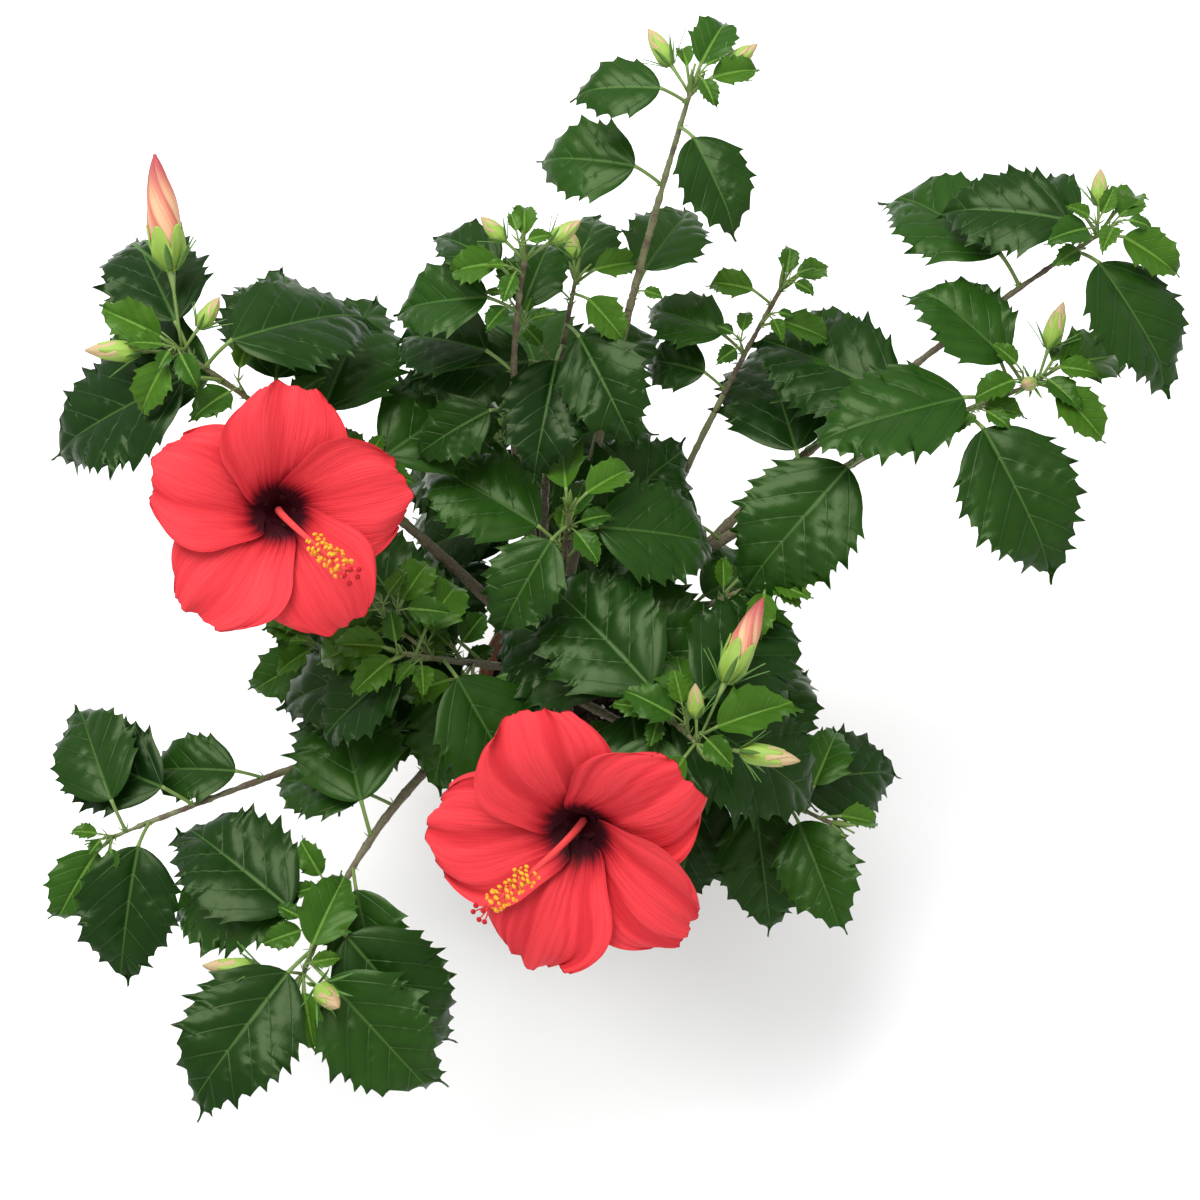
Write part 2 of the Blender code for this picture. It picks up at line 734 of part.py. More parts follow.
def make_trunk(line):
    shares = (0.0, 0.12, 0.30, 0.55, 0.80, 1.0)
    centres = [line.at(share) for share in shares]
    radii = [line.radius(share) for share in shares]
    return tube(centres, radii, TRUNK_SIDES, (TRUNK_FOOT, UP))


def finish(thing, colour, roughness):
    material = bpy.data.materials.new(f"{thing.name}_finish")
    material.use_nodes = True
    shader = material.node_tree.nodes["Principled BSDF"]
    shader.inputs["Base Color"].default_value = (*colour, 1)
    shader.inputs["Roughness"].default_value = roughness
    shader.inputs["Metallic"].default_value = 0.0
    thing.data.materials.clear()
    thing.data.materials.append(material)
    thing.data.shade_smooth()
    thing.data.set_sharp_from_angle(angle=math.radians(30))


def main():
    for thing in list(bpy.data.objects):
        bpy.data.objects.remove(thing)
    grown = Clearance()
    pot, pot_body = make_pot()
    soil, soil_body = make_soil()
    grown.add("pot", pot_body, soil_body)
    finish(pot, (0.20, 0.095, 0.060), 0.55)
    finish(soil, (0.018, 0.012, 0.009), 0.95)

    middle = (TRUNK_FOOT + TRUNK_TIP) / 2
    lines = {"trunk": Line(TRUNK_FOOT, middle, TRUNK_TIP, TRUNK_RADIUS, FORK_RADIUS, FLARE)}
    trunk = make_trunk(lines["trunk"])
    grown.add("trunk", trunk)
    finish(trunk.to_object("trunk"), (0.13, 0.095, 0.065), 0.85)

    masses = {}
    for branch in BRANCHES:
        line, foot = branch_line(branch, lines)
        lines[branch.name] = line
        bough = limb(line, 0.0, branch.bare, BOUGH_SIDES, BOUGH_STEPS, foot)
        masses[branch.name] = stem_bodies(branch, line)
        grown.add(f"bough_{branch.name}", bough)
        grown.add(f"foliage_{branch.name}", *masses[branch.name])
        finish(bough.to_object(f"bough_{branch.name}"), (0.14, 0.12, 0.070), 0.80)

    for bloom in BLOOMS:
        bodies = bloom_bodies(bloom, lines)
        grown.add(bloom.name, *bodies)
        finish(fuse(bloom.name, bodies), (0.85, 0.055, 0.060), 0.60)

    leaves = {}
    for branch in sorted(BRANCHES, key=lambda branch: -branch.leaf):  # the largest leaves come first
        seed = BRANCHES.index(branch)
        leaves[branch.name], twigs = leaves_of(branch, lines[branch.name], seed, grown)
        masses[branch.name].extend(twigs)
        for leaf in leaves[branch.name]:
            masses[branch.name].append(leaf_body(leaf, leaf.length * BLADE_THICKNESS))
        finish(fuse(f"foliage_{branch.name}", masses[branch.name]), (0.030, 0.095, 0.028), 0.50)
    return lines, leaves


if __name__ == "__main__":
    main()
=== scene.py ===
"""The looks of a young hibiscus shrub in its nursery pot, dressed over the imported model.

The stems, boughs and leaves grow here by the same rule as the solids, with the same seeds, so each
toothed and veined leaf lies where its plain solid is. Finer shoots are then carried on from them.
"""

import json
import math
import random
from collections import namedtuple

import bpy
import numpy as np
from mathutils import Matrix, Vector
from mathutils.bvhtree import BVHTree

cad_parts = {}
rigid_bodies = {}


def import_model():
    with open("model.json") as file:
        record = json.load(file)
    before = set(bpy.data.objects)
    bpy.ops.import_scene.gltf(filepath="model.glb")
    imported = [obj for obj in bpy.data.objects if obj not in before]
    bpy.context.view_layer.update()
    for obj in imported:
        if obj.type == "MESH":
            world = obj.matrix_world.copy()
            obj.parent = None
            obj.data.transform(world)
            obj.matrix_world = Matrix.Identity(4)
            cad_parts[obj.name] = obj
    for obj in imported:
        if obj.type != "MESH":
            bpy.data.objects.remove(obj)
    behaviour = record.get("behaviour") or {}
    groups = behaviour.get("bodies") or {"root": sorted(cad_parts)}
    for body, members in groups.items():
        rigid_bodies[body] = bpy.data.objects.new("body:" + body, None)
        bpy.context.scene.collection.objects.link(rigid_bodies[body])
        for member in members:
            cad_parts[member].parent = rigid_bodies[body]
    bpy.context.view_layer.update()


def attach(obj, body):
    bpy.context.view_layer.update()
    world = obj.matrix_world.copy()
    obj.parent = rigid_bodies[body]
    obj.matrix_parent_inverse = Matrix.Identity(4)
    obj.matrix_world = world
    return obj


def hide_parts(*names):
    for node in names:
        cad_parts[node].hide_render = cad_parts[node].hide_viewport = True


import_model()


# The studio: a sheet of pale paper under the pot, a broad soft light over the left shoulder of
# the plant and a weaker one in front. The camera stands over the plant and looks down on it.

AIM = Vector((-0.005, 0.006, 0.280))
CAMERA_DISTANCE = 1.05
CAMERA_ELEVATION = math.radians(70)
CAMERA_LENS = 62.9  # mm, on a sensor 36 mm wide
# Each lamp's place, the point it shines on, its width and its power in watts
LAMPS = {
    "broad_light": ((-0.44, 0.52, 1.95), (0, 0, 0.20), 1.25, 39),
    "front_light": ((0.90, -1.60, 1.00), (0, 0, 0.25), 1.40, 4),
}
ROOM_COLOUR = (0.98, 0.99, 1.0)
ROOM_STRENGTH = 0.89
PAPER_SIZE = 60.0
PAPER_DROP = 0.0002  # below the pot, so that the two faces don't share one plane
PAPER_COLOUR = (0.98, 0.98, 0.975)
PAPER_ROUGHNESS = 0.9


def shown(name, data):
    """A new object in the scene."""
    made = bpy.data.objects.new(name, data)
    bpy.context.scene.collection.objects.link(made)
    return made


def facing(way):
    """The rotation of a lamp or a camera that points this way."""
    return way.to_track_quat("-Z", "Y").to_euler()


for name, (spot, aim, size, power) in LAMPS.items():
    light = bpy.data.lights.new(name, "AREA")
    light.shape = "DISK"
    light.size = size
    light.energy = power
    lamp = shown(name, light)
    lamp.location = spot
    lamp.rotation_euler = facing(Vector(aim) - Vector(spot))

room = bpy.data.worlds.new("room")
room.use_nodes = True
room_light = room.node_tree.nodes["Background"].inputs
room_light["Color"].default_value = (*ROOM_COLOUR, 1)
room_light["Strength"].default_value = ROOM_STRENGTH
bpy.context.scene.world = room
bpy.context.scene.view_settings.view_transform = "Standard"

paper_mesh = bpy.data.meshes.new("paper")
reach = PAPER_SIZE / 2
corners = [(-reach, -reach, 0), (reach, -reach, 0), (reach, reach, 0), (-reach, reach, 0)]
paper_mesh.from_pydata(corners, [], [(0, 1, 2, 3)])
paper_finish = bpy.data.materials.new("paper")
paper_finish.use_nodes = True
paper_shader = paper_finish.node_tree.nodes["Principled BSDF"].inputs
paper_shader["Base Color"].default_value = (*PAPER_COLOUR, 1)
paper_shader["Roughness"].default_value = PAPER_ROUGHNESS
paper_mesh.materials.append(paper_finish)
paper = shown("paper", paper_mesh)
paper.location.z = -PAPER_DROP

camera_data = bpy.data.cameras.new("camera")
camera_data.lens = CAMERA_LENS
camera = shown("camera", camera_data)
camera_back = Vector((0, -math.cos(CAMERA_ELEVATION), math.sin(CAMERA_ELEVATION)))
camera.location = AIM + camera_back * CAMERA_DISTANCE
camera.rotation_euler = facing(-camera_back)
bpy.context.scene.camera = camera


# The pot: a thin-walled nursery pot, moulded in terracotta-coloured plastic. Its lip is
# thickened and rounded over, and shallow drain notches run round its foot.

UP = Vector((0, 0, 1))
POT_HEIGHT = 0.140
POT_RIM_RADIUS = 0.0750
POT_FOOT_RADIUS = 0.0550
POT_WALL = 0.0020
POT_BASE = 0.0025
RIM_DEPTH = 0.0140
RIM_STEP = 0.0030
RIM_ROUND = 0.0018  # height of the rounding along the lip's top edge
RIM_HOLLOW = 0.0022  # depth of the hollow under the lip
HUB = 0.0040  # radius of the flat middle of the base
FOOT_RECESS = 0.0012  # how far the underside stands up inside the ring it rests on
POT_SIDES = 36
POT_LOOK_SIDES = 144
NOTCHES = 9
NOTCH_DEPTH = 0.0011
NOTCH_HEIGHT = 0.010
TERRACOTTA = (0.275, 0.105, 0.058)
TERRACOTTA_DARK = (0.19, 0.072, 0.042)
LIME_SCALE = (0.46, 0.33, 0.26)


class Value:
    """A number that varies over a surface. Sums and products of it become Math nodes."""

    def __init__(self, finish, socket):
        self.finish = finish
        self.socket = socket

    def maths(self, operation, *operands):
        return self.finish.value("ShaderNodeMath", {"operation": operation}, operands)

    def __add__(self, other):
        return self.maths("ADD", self, other)

    def __sub__(self, other):
        return self.maths("SUBTRACT", self, other)

    def __rsub__(self, other):
        return self.maths("SUBTRACT", other, self)

    def __mul__(self, other):
        return self.maths("MULTIPLY", self, other)

    def __truediv__(self, other):
        return self.maths("DIVIDE", self, other)

    def __abs__(self):
        return self.maths("ABSOLUTE", self)

    def fraction(self):
        return self.maths("FRACT", self)

    def clamped(self):
        return self.maths("MINIMUM", self.maths("MAXIMUM", self, 0.0), 1.0)

    def step(self, low, high):
        """Rises smoothly from 0 at low to 1 at high."""
        settings = {"interpolation_type": "SMOOTHSTEP"}
        return self.finish.value("ShaderNodeMapRange", settings, (self, low, high))

    def mixed(self, one, other):
        """The colour this share of the way from one to the other, each a colour or a link."""
        pair = [(*c, 1) if isinstance(c, tuple) else c for c in (one, other)]
        sockets = {0: self, 6: pair[0], 7: pair[1]}
        return self.finish.value("ShaderNodeMix", {"data_type": "RGBA"}, sockets, 2)


class Finish:
    """One material on a Principled shader, with the nodes that vary it."""

    def __init__(self, name, **fixed):
        self.material = bpy.data.materials.new(name)
        self.material.use_nodes = True
        self.tree = self.material.node_tree
        self.shader = self.tree.nodes["Principled BSDF"]
        for socket, value in fixed.items():
            self.shader.inputs[socket.replace("_", " ")].default_value = value

    def node(self, kind, settings, sockets):
        """A node of this kind. Its settings come first, then its sockets by name or in order."""
        made = self.tree.nodes.new(kind)
        for name, value in settings.items():
            setattr(made, name, value)
        named = sockets.items() if isinstance(sockets, dict) else enumerate(sockets)
        for name, value in named:
            if isinstance(value, Value):
                self.tree.links.new(value.socket, made.inputs[name])
            else:
                made.inputs[name].default_value = value
        return made

    def value(self, kind, settings, sockets, output=0):
        return Value(self, self.node(kind, settings, sockets).outputs[output])

    def place(self):
        return self.value("ShaderNodeTexCoord", {}, {}, "Object")

    def parts_of(self, attribute):
        """The three numbers of a named value at the points."""
        held = self.value("ShaderNodeAttribute", {"attribute_name": attribute}, {}, "Vector")
        split = self.node("ShaderNodeSeparateXYZ", {}, [held])
        return [Value(self, output) for output in split.outputs]

    def vector(self, x, y, z):
        return self.value("ShaderNodeCombineXYZ", {}, (x, y, z))

    def noise(self, scale, detail=3.0, roughness=0.55, where=None):
        """Soft patches, in the object's own space if where isn't given."""
        where = where or self.place()
        sockets = {"Vector": where, "Scale": scale, "Detail": detail, "Roughness": roughness}
        return self.value("ShaderNodeTexNoise", {}, sockets)

    def grain(self, across, along, *look):
        """Noise with one scale across the object and another up its height."""
        scaled = self.value("ShaderNodeMapping", {}, {0: self.place(), 3: (across, across, along)})
        return self.noise(1.0, *look, where=scaled)

    def dots(self, scale, radius, edge):
        """Scattered round dots, from 1 at their middle to 0 outside."""
        away = self.value("ShaderNodeTexVoronoi", {}, {"Vector": self.place(), "Scale": scale})
        return away.step(edge, radius)

    def paint(self, **sockets):
        for name, value in sockets.items():
            self.tree.links.new(value.socket, self.shader.inputs[name.replace("_", " ")])

    def relief(self, height, depth):
        """Bumps of this depth in metres, where the height is 1."""
        sockets = {"Height": height, "Distance": depth, "Strength": 1.0}
        self.paint(Normal=self.value("ShaderNodeBump", {}, sockets))


def turns_of(sides):
    return np.linspace(0, 2 * math.pi, sides, endpoint=False)


def frame_of(axis):
    """Two directions across an axis."""
    side = UP.cross(axis)
    side = side.normalized() if side.length > 0.05 else Vector((1, 0, 0))
    return side, axis.cross(side).normalized()


def turned_grid(base, axis, radii, heights, turns):
    """Points round an axis, from arrays of radius, height and turn that fit together."""
    base, axis, side, other = (np.array(v) for v in (base, axis, *frame_of(axis)))
    radii, heights, turns = (a[..., None] for a in np.broadcast_arrays(radii, heights, turns))
    return base + axis * heights + (np.cos(turns) * side + np.sin(turns) * other) * radii


def tube_faces(rows, sides):
    """The faces of a closed tube through rings of points, with both its ends."""
    index = np.arange(rows * sides).reshape(rows, sides)
    index = np.concatenate([index, index[:, :1]], axis=1)
    around = (index[:-1, :-1], index[:-1, 1:], index[1:, 1:], index[1:, :-1])
    return [np.stack(around, axis=-1).reshape(-1, 4), index[:1, -2::-1], index[-1:, :-1]]


def solid_of(rings):
    """A plain closed solid through rings of points, to try later growth against."""
    faces = [face for rows in tube_faces(*rings.shape[:2]) for face in rows.tolist()]
    return BVHTree.FromPolygons(rings.reshape(-1, 3).tolist(), faces)


def turned_solid(*outline):
    """A plain solid of revolution round the pot's axis, from its outline of (radius, height)."""
    radii, heights = np.array(outline).T[..., None]
    return solid_of(turned_grid(Vector(), UP, radii, heights, turns_of(POT_SIDES)))


class Clearance:
    """The plain solids of what has grown so far, by owner, to try the next one against."""

    def __init__(self):
        self.solids = []

    def add(self, owner, *solids):
        self.solids.extend((owner, solid) for solid in solids)

    def free(self, tried, owner=None, own=True):
        """Whether a solid touches nothing of this owner, or nothing of any other."""
        return not any(s.overlap(tried) for name, s in self.solids if (name == owner) == own)


class Skin:
    """Points, faces and named values at the points, gathered into one piece."""

    def __init__(self):
        self.points = []
        self.faces = []
        self.edges = []
        self.values = {}
        self.count = 0

    def add(self, points, faces, edge=None, **values):
        """edge marks the points of a sharp edge. Each named value is three numbers a point."""
        points = np.asarray(points, float).reshape(-1, 3)
        self.points.append(points)
        self.faces.extend(np.asarray(rows, int) + self.count for rows in faces)
        self.edges.append(np.zeros(len(points), bool) if edge is None else edge)
        for name, value in values.items():
            spread = np.broadcast_to(np.asarray(value, float), (len(points), 3))
            self.values.setdefault(name, []).append(spread)
        self.count += len(points)

    def tube(self, rings, **values):
        """A closed tube through rings of points, (rows, sides, 3)."""
        self.add(rings, tube_faces(*rings.shape[:2]), **values)

    def piece(self, name, finish, slot, *replaced):
        """The finished piece, which rides on the plant and stands for these nodes."""
        mesh = bpy.data.meshes.new(name)
        faces = [face for rows in self.faces for face in rows.tolist()]
        mesh.from_pydata(np.concatenate(self.points), [], faces)
        for value, held in self.values.items():
            attribute = mesh.attributes.new(value, "FLOAT_VECTOR", "POINT")
            attribute.data.foreach_set("vector", np.concatenate(held).ravel())
        ends = np.empty(len(mesh.edges) * 2, int)
        mesh.edges.foreach_get("vertices", ends)
        sharp = np.concatenate(self.edges)[ends].reshape(-1, 2).all(axis=1)
        mesh.shade_smooth()
        attribute = mesh.attributes.new("sharp_edge", "BOOLEAN", "EDGE")
        attribute.data.foreach_set("value", sharp)
        mesh.materials.append(finish.material)
        made = shown(name, mesh)
        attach(made, "root")
        if replaced:
            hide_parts(*replaced)


def wall_radius(height):
    """The pot wall's outer radius under the lip."""
    top = POT_RIM_RADIUS - RIM_STEP
    return POT_FOOT_RADIUS + (top - POT_FOOT_RADIUS) * height / POT_HEIGHT


def pot_outline():
    """Radius and height along the wall, from the middle of the underside round to the inside."""
    lip = POT_HEIGHT - RIM_DEPTH
    foot = POT_FOOT_RADIUS
    outline = [(HUB, FOOT_RECESS), (foot - 0.006, FOOT_RECESS), (foot - 0.004, 0)]
    outline += [(foot - 0.001, 0), (foot + 0.0001, 0.001)]
    for share in np.arange(1, 25) / 24:
        height = 0.001 + (lip - 0.003) * share
        outline.append((wall_radius(height), height))
    for turn in math.pi / 2 * np.arange(7) / 6:  # the hollow under the lip and its rounded edge
        across = RIM_HOLLOW * math.sin(turn)
        outline.append((wall_radius(lip) + across, lip - 0.0006 * math.cos(turn)))
    outline += [(POT_RIM_RADIUS - 0.0003, lip + 0.0012), (POT_RIM_RADIUS, lip + 0.004)]
    outline += [(POT_RIM_RADIUS, POT_HEIGHT - 0.004)]
    inner = wall_radius(POT_HEIGHT) - POT_WALL
    middle, half = (POT_RIM_RADIUS + inner) / 2, (POT_RIM_RADIUS - inner) / 2
    for turn in math.pi * np.arange(13) / 12:
        top = POT_HEIGHT - RIM_ROUND + RIM_ROUND * math.sin(turn)
        outline.append((middle + half * math.cos(turn), top))
    for share in np.arange(1, 9) / 8:
        height = POT_HEIGHT - 0.003 - (POT_HEIGHT - 0.012) * share
        outline.append((wall_radius(height) - POT_WALL, height))
    return np.array([*outline, (foot - 0.008, POT_BASE), (HUB, POT_BASE)])


grown = Clearance()
lip = POT_HEIGHT - RIM_DEPTH
grown.add("pot", turned_solid(
    (POT_FOOT_RADIUS, 0),
    (wall_radius(lip), lip),
    (POT_RIM_RADIUS - 0.0008, lip + 0.0006),
    (POT_RIM_RADIUS, POT_HEIGHT - 0.0012),
    (POT_RIM_RADIUS - 0.0010, POT_HEIGHT),
    (wall_radius(POT_HEIGHT) - POT_WALL, POT_HEIGHT),
    (wall_radius(POT_BASE) - POT_WALL, POT_BASE),
))

radii, heights = pot_outline().T[..., None]
turns = turns_of(POT_LOOK_SIDES)
notch = np.clip(3.2 * np.cos(NOTCHES * turns) - 2.0, 0, 1)
fade = np.clip((NOTCH_HEIGHT - heights) / 0.0025, 0, 1)
fade[:3] = fade[30:] = 0  # the notches are in the outside of the wall only
radii = radii - NOTCH_DEPTH * fade * notch
pot_skin = Skin()
pot_skin.tube(turned_grid(Vector(), UP, radii, heights, turns))

pot_finish = Finish("terracotta_plastic", Specular_IOR_Level=0.42)
low, high = pot_finish.noise(26.0), pot_finish.noise(900.0)
body = low.step(0.35, 0.7).mixed(TERRACOTTA, TERRACOTTA_DARK)
split = pot_finish.node("ShaderNodeSeparateXYZ", {}, [pot_finish.place()])
height_up = Value(pot_finish, split.outputs[2])
scale_mark = (pot_finish.noise(70.0, 6.0, 0.7) + height_up * 2.2).step(0.80, 0.98)
pot_finish.paint(
    Base_Color=(scale_mark * 0.45).mixed(body, LIME_SCALE),
    Roughness=low * 0.20 + high * 0.12 + scale_mark * 0.15 + 0.32,
)
pot_finish.relief(high * 0.5 + pot_finish.grain(90, 1400) * 0.5, 0.00012)
pot_skin.piece("pot_shell", pot_finish, "pot", "pot")


# The potting soil: dark peat with bark crumbs, pressed into the pot to just under the lip and
# strewn with white grains of perlite.

SOIL_LEVEL = 0.128
GAP = 0.0003  # clear space between two pieces that meet
SOIL_LOOK_SIDES = 96
SOIL_LOOK_RINGS = 44
SOIL_BUMPS = ((0.0016, 0.030), (0.0009, 0.009), (0.0005, 0.004))  # height and breadth of each
CRUMBS = 900
CRUMB_SIZE = (0.0008, 0.0028)
CRUMB_FLATNESS = 0.6
PERLITE_GRAINS = 170
PERLITE_SIZE = (0.0009, 0.0021)
PERLITE_FLATNESS = 0.8
PEAT = (0.020, 0.013, 0.009)
PEAT_DRY = (0.060, 0.041, 0.028)
PERLITE = (0.72, 0.71, 0.67)


def rough(points, size, seed):
    """A smooth random height at each point, mostly from -1 to 1, with bumps of about this size."""
    seeded = np.random.default_rng(seed)
    ways = seeded.normal(size=(10, 3))
    lengths = np.linalg.norm(ways, axis=1)
    ways *= (2 * math.pi / size * seeded.uniform(0.6, 1.5, 10) / lengths)[:, None]
    return np.sin(points @ ways.T + seeded.uniform(0, 2 * math.pi, 10)).sum(axis=-1) / 3.2


def bumps(points, layers, seed):
    """Uneven heights at the points, from layers of bumps of this height and breadth."""
    return sum(high * rough(points, wide, seed + n) for n, (high, wide) in enumerate(layers))


soil_radius = wall_radius(SOIL_LEVEL) - POT_WALL - GAP * 2
soil_foot = POT_BASE + GAP
foot_radius = wall_radius(soil_foot) - POT_WALL - GAP * 2
grown.add("soil", turned_solid((foot_radius, soil_foot), (soil_radius, SOIL_LEVEL)))

flat = soil_radius * np.linspace(1, 0.004, SOIL_LOOK_RINGS)[:, None]
top = turned_grid(Vector(), UP, flat, 0, turns_of(SOIL_LOOK_SIDES))
top[..., 2] = SOIL_LEVEL - 0.0012 + bumps(top, SOIL_BUMPS, 1)
sides = top[:1] * (foot_radius / soil_radius)
sides[..., 2] = soil_foot
soil_skin = Skin()
soil_skin.tube(np.concatenate([sides, top]))


def strew(skin, count, sizes, flatness, seed):
    """Grains of uneven shape, each from an eight-faced one, that lie half buried in the soil."""
    seeded = np.random.default_rng(seed)
    points = np.array(((0, 0, 1), (1, 0, 0), (0, 1, 0), (-1, 0, 0), (0, -1, 0), (0, 0, -1)))
    upper = np.array([(0, here, here % 4 + 1) for here in range(1, 5)])
    lower = np.array([(5, here % 4 + 1, here) for here in range(1, 5)])
    for _ in range(count):
        turn = seeded.uniform(0, 2 * math.pi)
        radius = (soil_radius - 0.003) * math.sqrt(seeded.uniform(0, 1))
        size = seeded.uniform(*sizes)
        shape = points * seeded.uniform(0.6, 1.2, (6, 1)) * size
        shape = shape * (1, seeded.uniform(0.6, 1.0), flatness)
        spin = np.array(Matrix.Rotation(seeded.uniform(0, 6.28), 3, "Z"))
        tip = np.array(Matrix.Rotation(seeded.uniform(-0.5, 0.5), 3, "X"))
        middle = np.array((radius * math.cos(turn), radius * math.sin(turn), SOIL_LEVEL - 0.0006))
        skin.add(shape @ tip.T @ spin.T + middle, [upper, lower])


strew(soil_skin, CRUMBS, CRUMB_SIZE, CRUMB_FLATNESS, 4)
peat_finish = Finish("peat", Roughness=0.95, Specular_IOR_Level=0.2)
damp = peat_finish.noise(240.0, 6.0, 0.7)
peat_finish.paint(Base_Color=damp.step(0.45, 0.75).mixed(PEAT, PEAT_DRY))
peat_finish.relief(peat_finish.noise(900.0, 5.0, 0.7), 0.0006)
soil_skin.piece("peat_soil", peat_finish, "soil", "potting_soil")

perlite_skin = Skin()
strew(perlite_skin, PERLITE_GRAINS, PERLITE_SIZE, PERLITE_FLATNESS, 5)
perlite_finish = Finish("perlite", Roughness=0.85)
grime = perlite_finish.noise(700.0).step(0.5, 0.8)
perlite_finish.paint(Base_Color=grime.mixed(PERLITE, PEAT_DRY))
perlite_finish.relief(perlite_finish.noise(2500.0), 0.0003)
perlite_skin.piece("perlite_grains", perlite_finish, "soil")


# The trunk: a short woody stem that stands in the soil on a slight flare. Its grey-brown bark is
# finely ridged along its length and speckled with pale breathing pores.

TRUNK_FOOT = Vector((-0.033, 0.000, SOIL_LEVEL + GAP))
TRUNK_TIP = Vector((-0.030, 0.006, SOIL_LEVEL + 0.052))
TRUNK_RADIUS = 0.0085
FLARE = 0.0060
FORK_RADIUS = 0.0060
TRUNK_STATIONS = (0.0, 0.12, 0.30, 0.55, 0.80, 1.0)
TRUNK_SIDES = 10
TRUNK_LOOK_SIDES = 56
TRUNK_LOOK_ROWS = 90
TRUNK_RIDGES = ((0.00045, 0.0045), (0.00022, 0.0020))
RIDGE_STRETCH = 0.22  # how fast the ridges vary up the trunk, against across it
KNOB_HEIGHT = 0.0007
KNOB_BREADTH = 0.013
OLD_BARK = (0.155, 0.108, 0.068)
OLD_BARK_SHADE = (0.062, 0.043, 0.028)
PORE_COLOUR = (0.33, 0.26, 0.18)


class Line:
    """A limb's curved centre line with its radius and the flare at its foot."""

    def __init__(self, foot, middle, tip, foot_radius, tip_radius, flare=0.0):
        self.points = (foot, middle, tip)
        self.radii = (foot_radius, tip_radius)
        self.flare = flare

    def at(self, share):
        foot, middle, tip = self.points
        return foot * (1 - share) ** 2 + middle * 2 * share * (1 - share) + tip * share**2

    def along(self, share):
        foot, middle, tip = self.points
        return ((middle - foot) * (1 - share) + (tip - middle) * share).normalized()

    def radius(self, share):
        return between(self.radii, share) + self.flare * (1 - share) ** 14


def between(ends, share):
    return ends[0] + (ends[1] - ends[0]) * share


def sleeve(centres, radii, sides, foot=None):
    """Rings of points round a centre line, (rows, sides, 3), and the spokes that they lie on.
    foot is a plane that cuts the lower end, as point and normal.
    """
    centres = np.array(centres)
    ways = np.gradient(centres, axis=0)
    ways /= np.linalg.norm(ways, axis=1)[:, None]
    turns = turns_of(sides)[:, None]
    side = np.array((0.31, 0.95, 0.05))
    spokes = np.empty((len(centres), sides, 3))
    rings = np.empty_like(spokes)
    radii = np.asarray(radii, float).reshape(len(centres), -1, 1)
    for row, (centre, way) in enumerate(zip(centres, ways)):
        side = side - way * (side @ way)
        side /= np.linalg.norm(side)
        spokes[row] = np.cos(turns) * side + np.sin(turns) * np.cross(way, side)
        rings[row] = centre + spokes[row] * radii[row]
        if foot and row == 0:
            point, normal = np.array(foot)
            rings[0] += way * ((point - rings[0]) @ normal / (way @ normal))[:, None]
            side = rings[0, 0] - centre
    return rings, spokes


def tube(centres, radii, sides, foot=None):
    """A plain closed limb."""
    return solid_of(sleeve(centres, radii, sides, foot)[0])


trunk_middle = (TRUNK_FOOT + TRUNK_TIP) / 2
trunk_line = Line(TRUNK_FOOT, trunk_middle, TRUNK_TIP, TRUNK_RADIUS, FORK_RADIUS, FLARE)
lines = {"trunk": trunk_line}
centres = [trunk_line.at(share) for share in TRUNK_STATIONS]
radii = [trunk_line.radius(share) for share in TRUNK_STATIONS]
grown.add("trunk", tube(centres, radii, TRUNK_SIDES, (TRUNK_FOOT, UP)))

shares = np.linspace(-0.03, 1.0, TRUNK_LOOK_ROWS)
radii = [trunk_line.radius(max(share, 0.0)) for share in shares]
points, spokes = sleeve([trunk_line.at(share) for share in shares], radii, TRUNK_LOOK_SIDES)
stretched = points * (1, 1, RIDGE_STRETCH)
knobs = KNOB_HEIGHT * np.clip(rough(points, KNOB_BREADTH, 13) - 0.2, 0, 1)
points += spokes * (bumps(stretched, TRUNK_RIDGES, 11) + knobs)[..., None]
points[-1] = points[-2].mean(axis=0) + (points[-1] - points[-1].mean(axis=0)) * 0.5 + (0, 0, 0.0006)
trunk_skin = Skin()
trunk_skin.tube(points)

bark_finish = Finish("old_bark", Roughness=0.85, Specular_IOR_Level=0.25)
grain = bark_finish.grain(900, 160, 5.0, 0.65)
pores = bark_finish.dots(420.0, 0.16, 0.30)
bark = grain.step(0.35, 0.65).mixed(OLD_BARK_SHADE, OLD_BARK)
bark_finish.paint(Base_Color=(pores * 0.6).mixed(bark, PORE_COLOUR))
bark_finish.relief(grain + pores * 0.5, 0.0005)
trunk_skin.piece("trunk_bark", bark_finish, "old_bark", "trunk")


# The boughs: each forks from the trunk or from another bough in a smooth collar, tapers, and
# runs on as the leafy stem of its mass. Their skin is olive-brown, with fine lengthwise lines.

BOUGH_SIDES = 6
BOUGH_STEPS = 5
TIP_RADIUS = 0.0011
JOINT_CLEARANCE = 0.0005
COLLAR_SHARE = 0.12  # how far below a fork its parent's radius is read
COLLAR_SWELLING = 0.45  # of a bough's radius
COLLAR_LENGTH = 0.006
BOUGH_LOOK_ROWS = 110
BOUGH_LOOK_SIDES = 20
SCAR_SPACING = 0.019  # between the ring scars of fallen leaves
SCAR_HEIGHT = 0.00032
SCAR_WIDTH = 0.0011
BOUGH_BUMPS = ((0.00009, 0.0030), (0.00016, 0.012))
YOUNG_BARK = (0.175, 0.148, 0.088)
YOUNG_BARK_SHADE = (0.075, 0.066, 0.038)
GREEN_STEM = (0.175, 0.200, 0.085)
RED_STEM = (0.085, 0.050, 0.034)

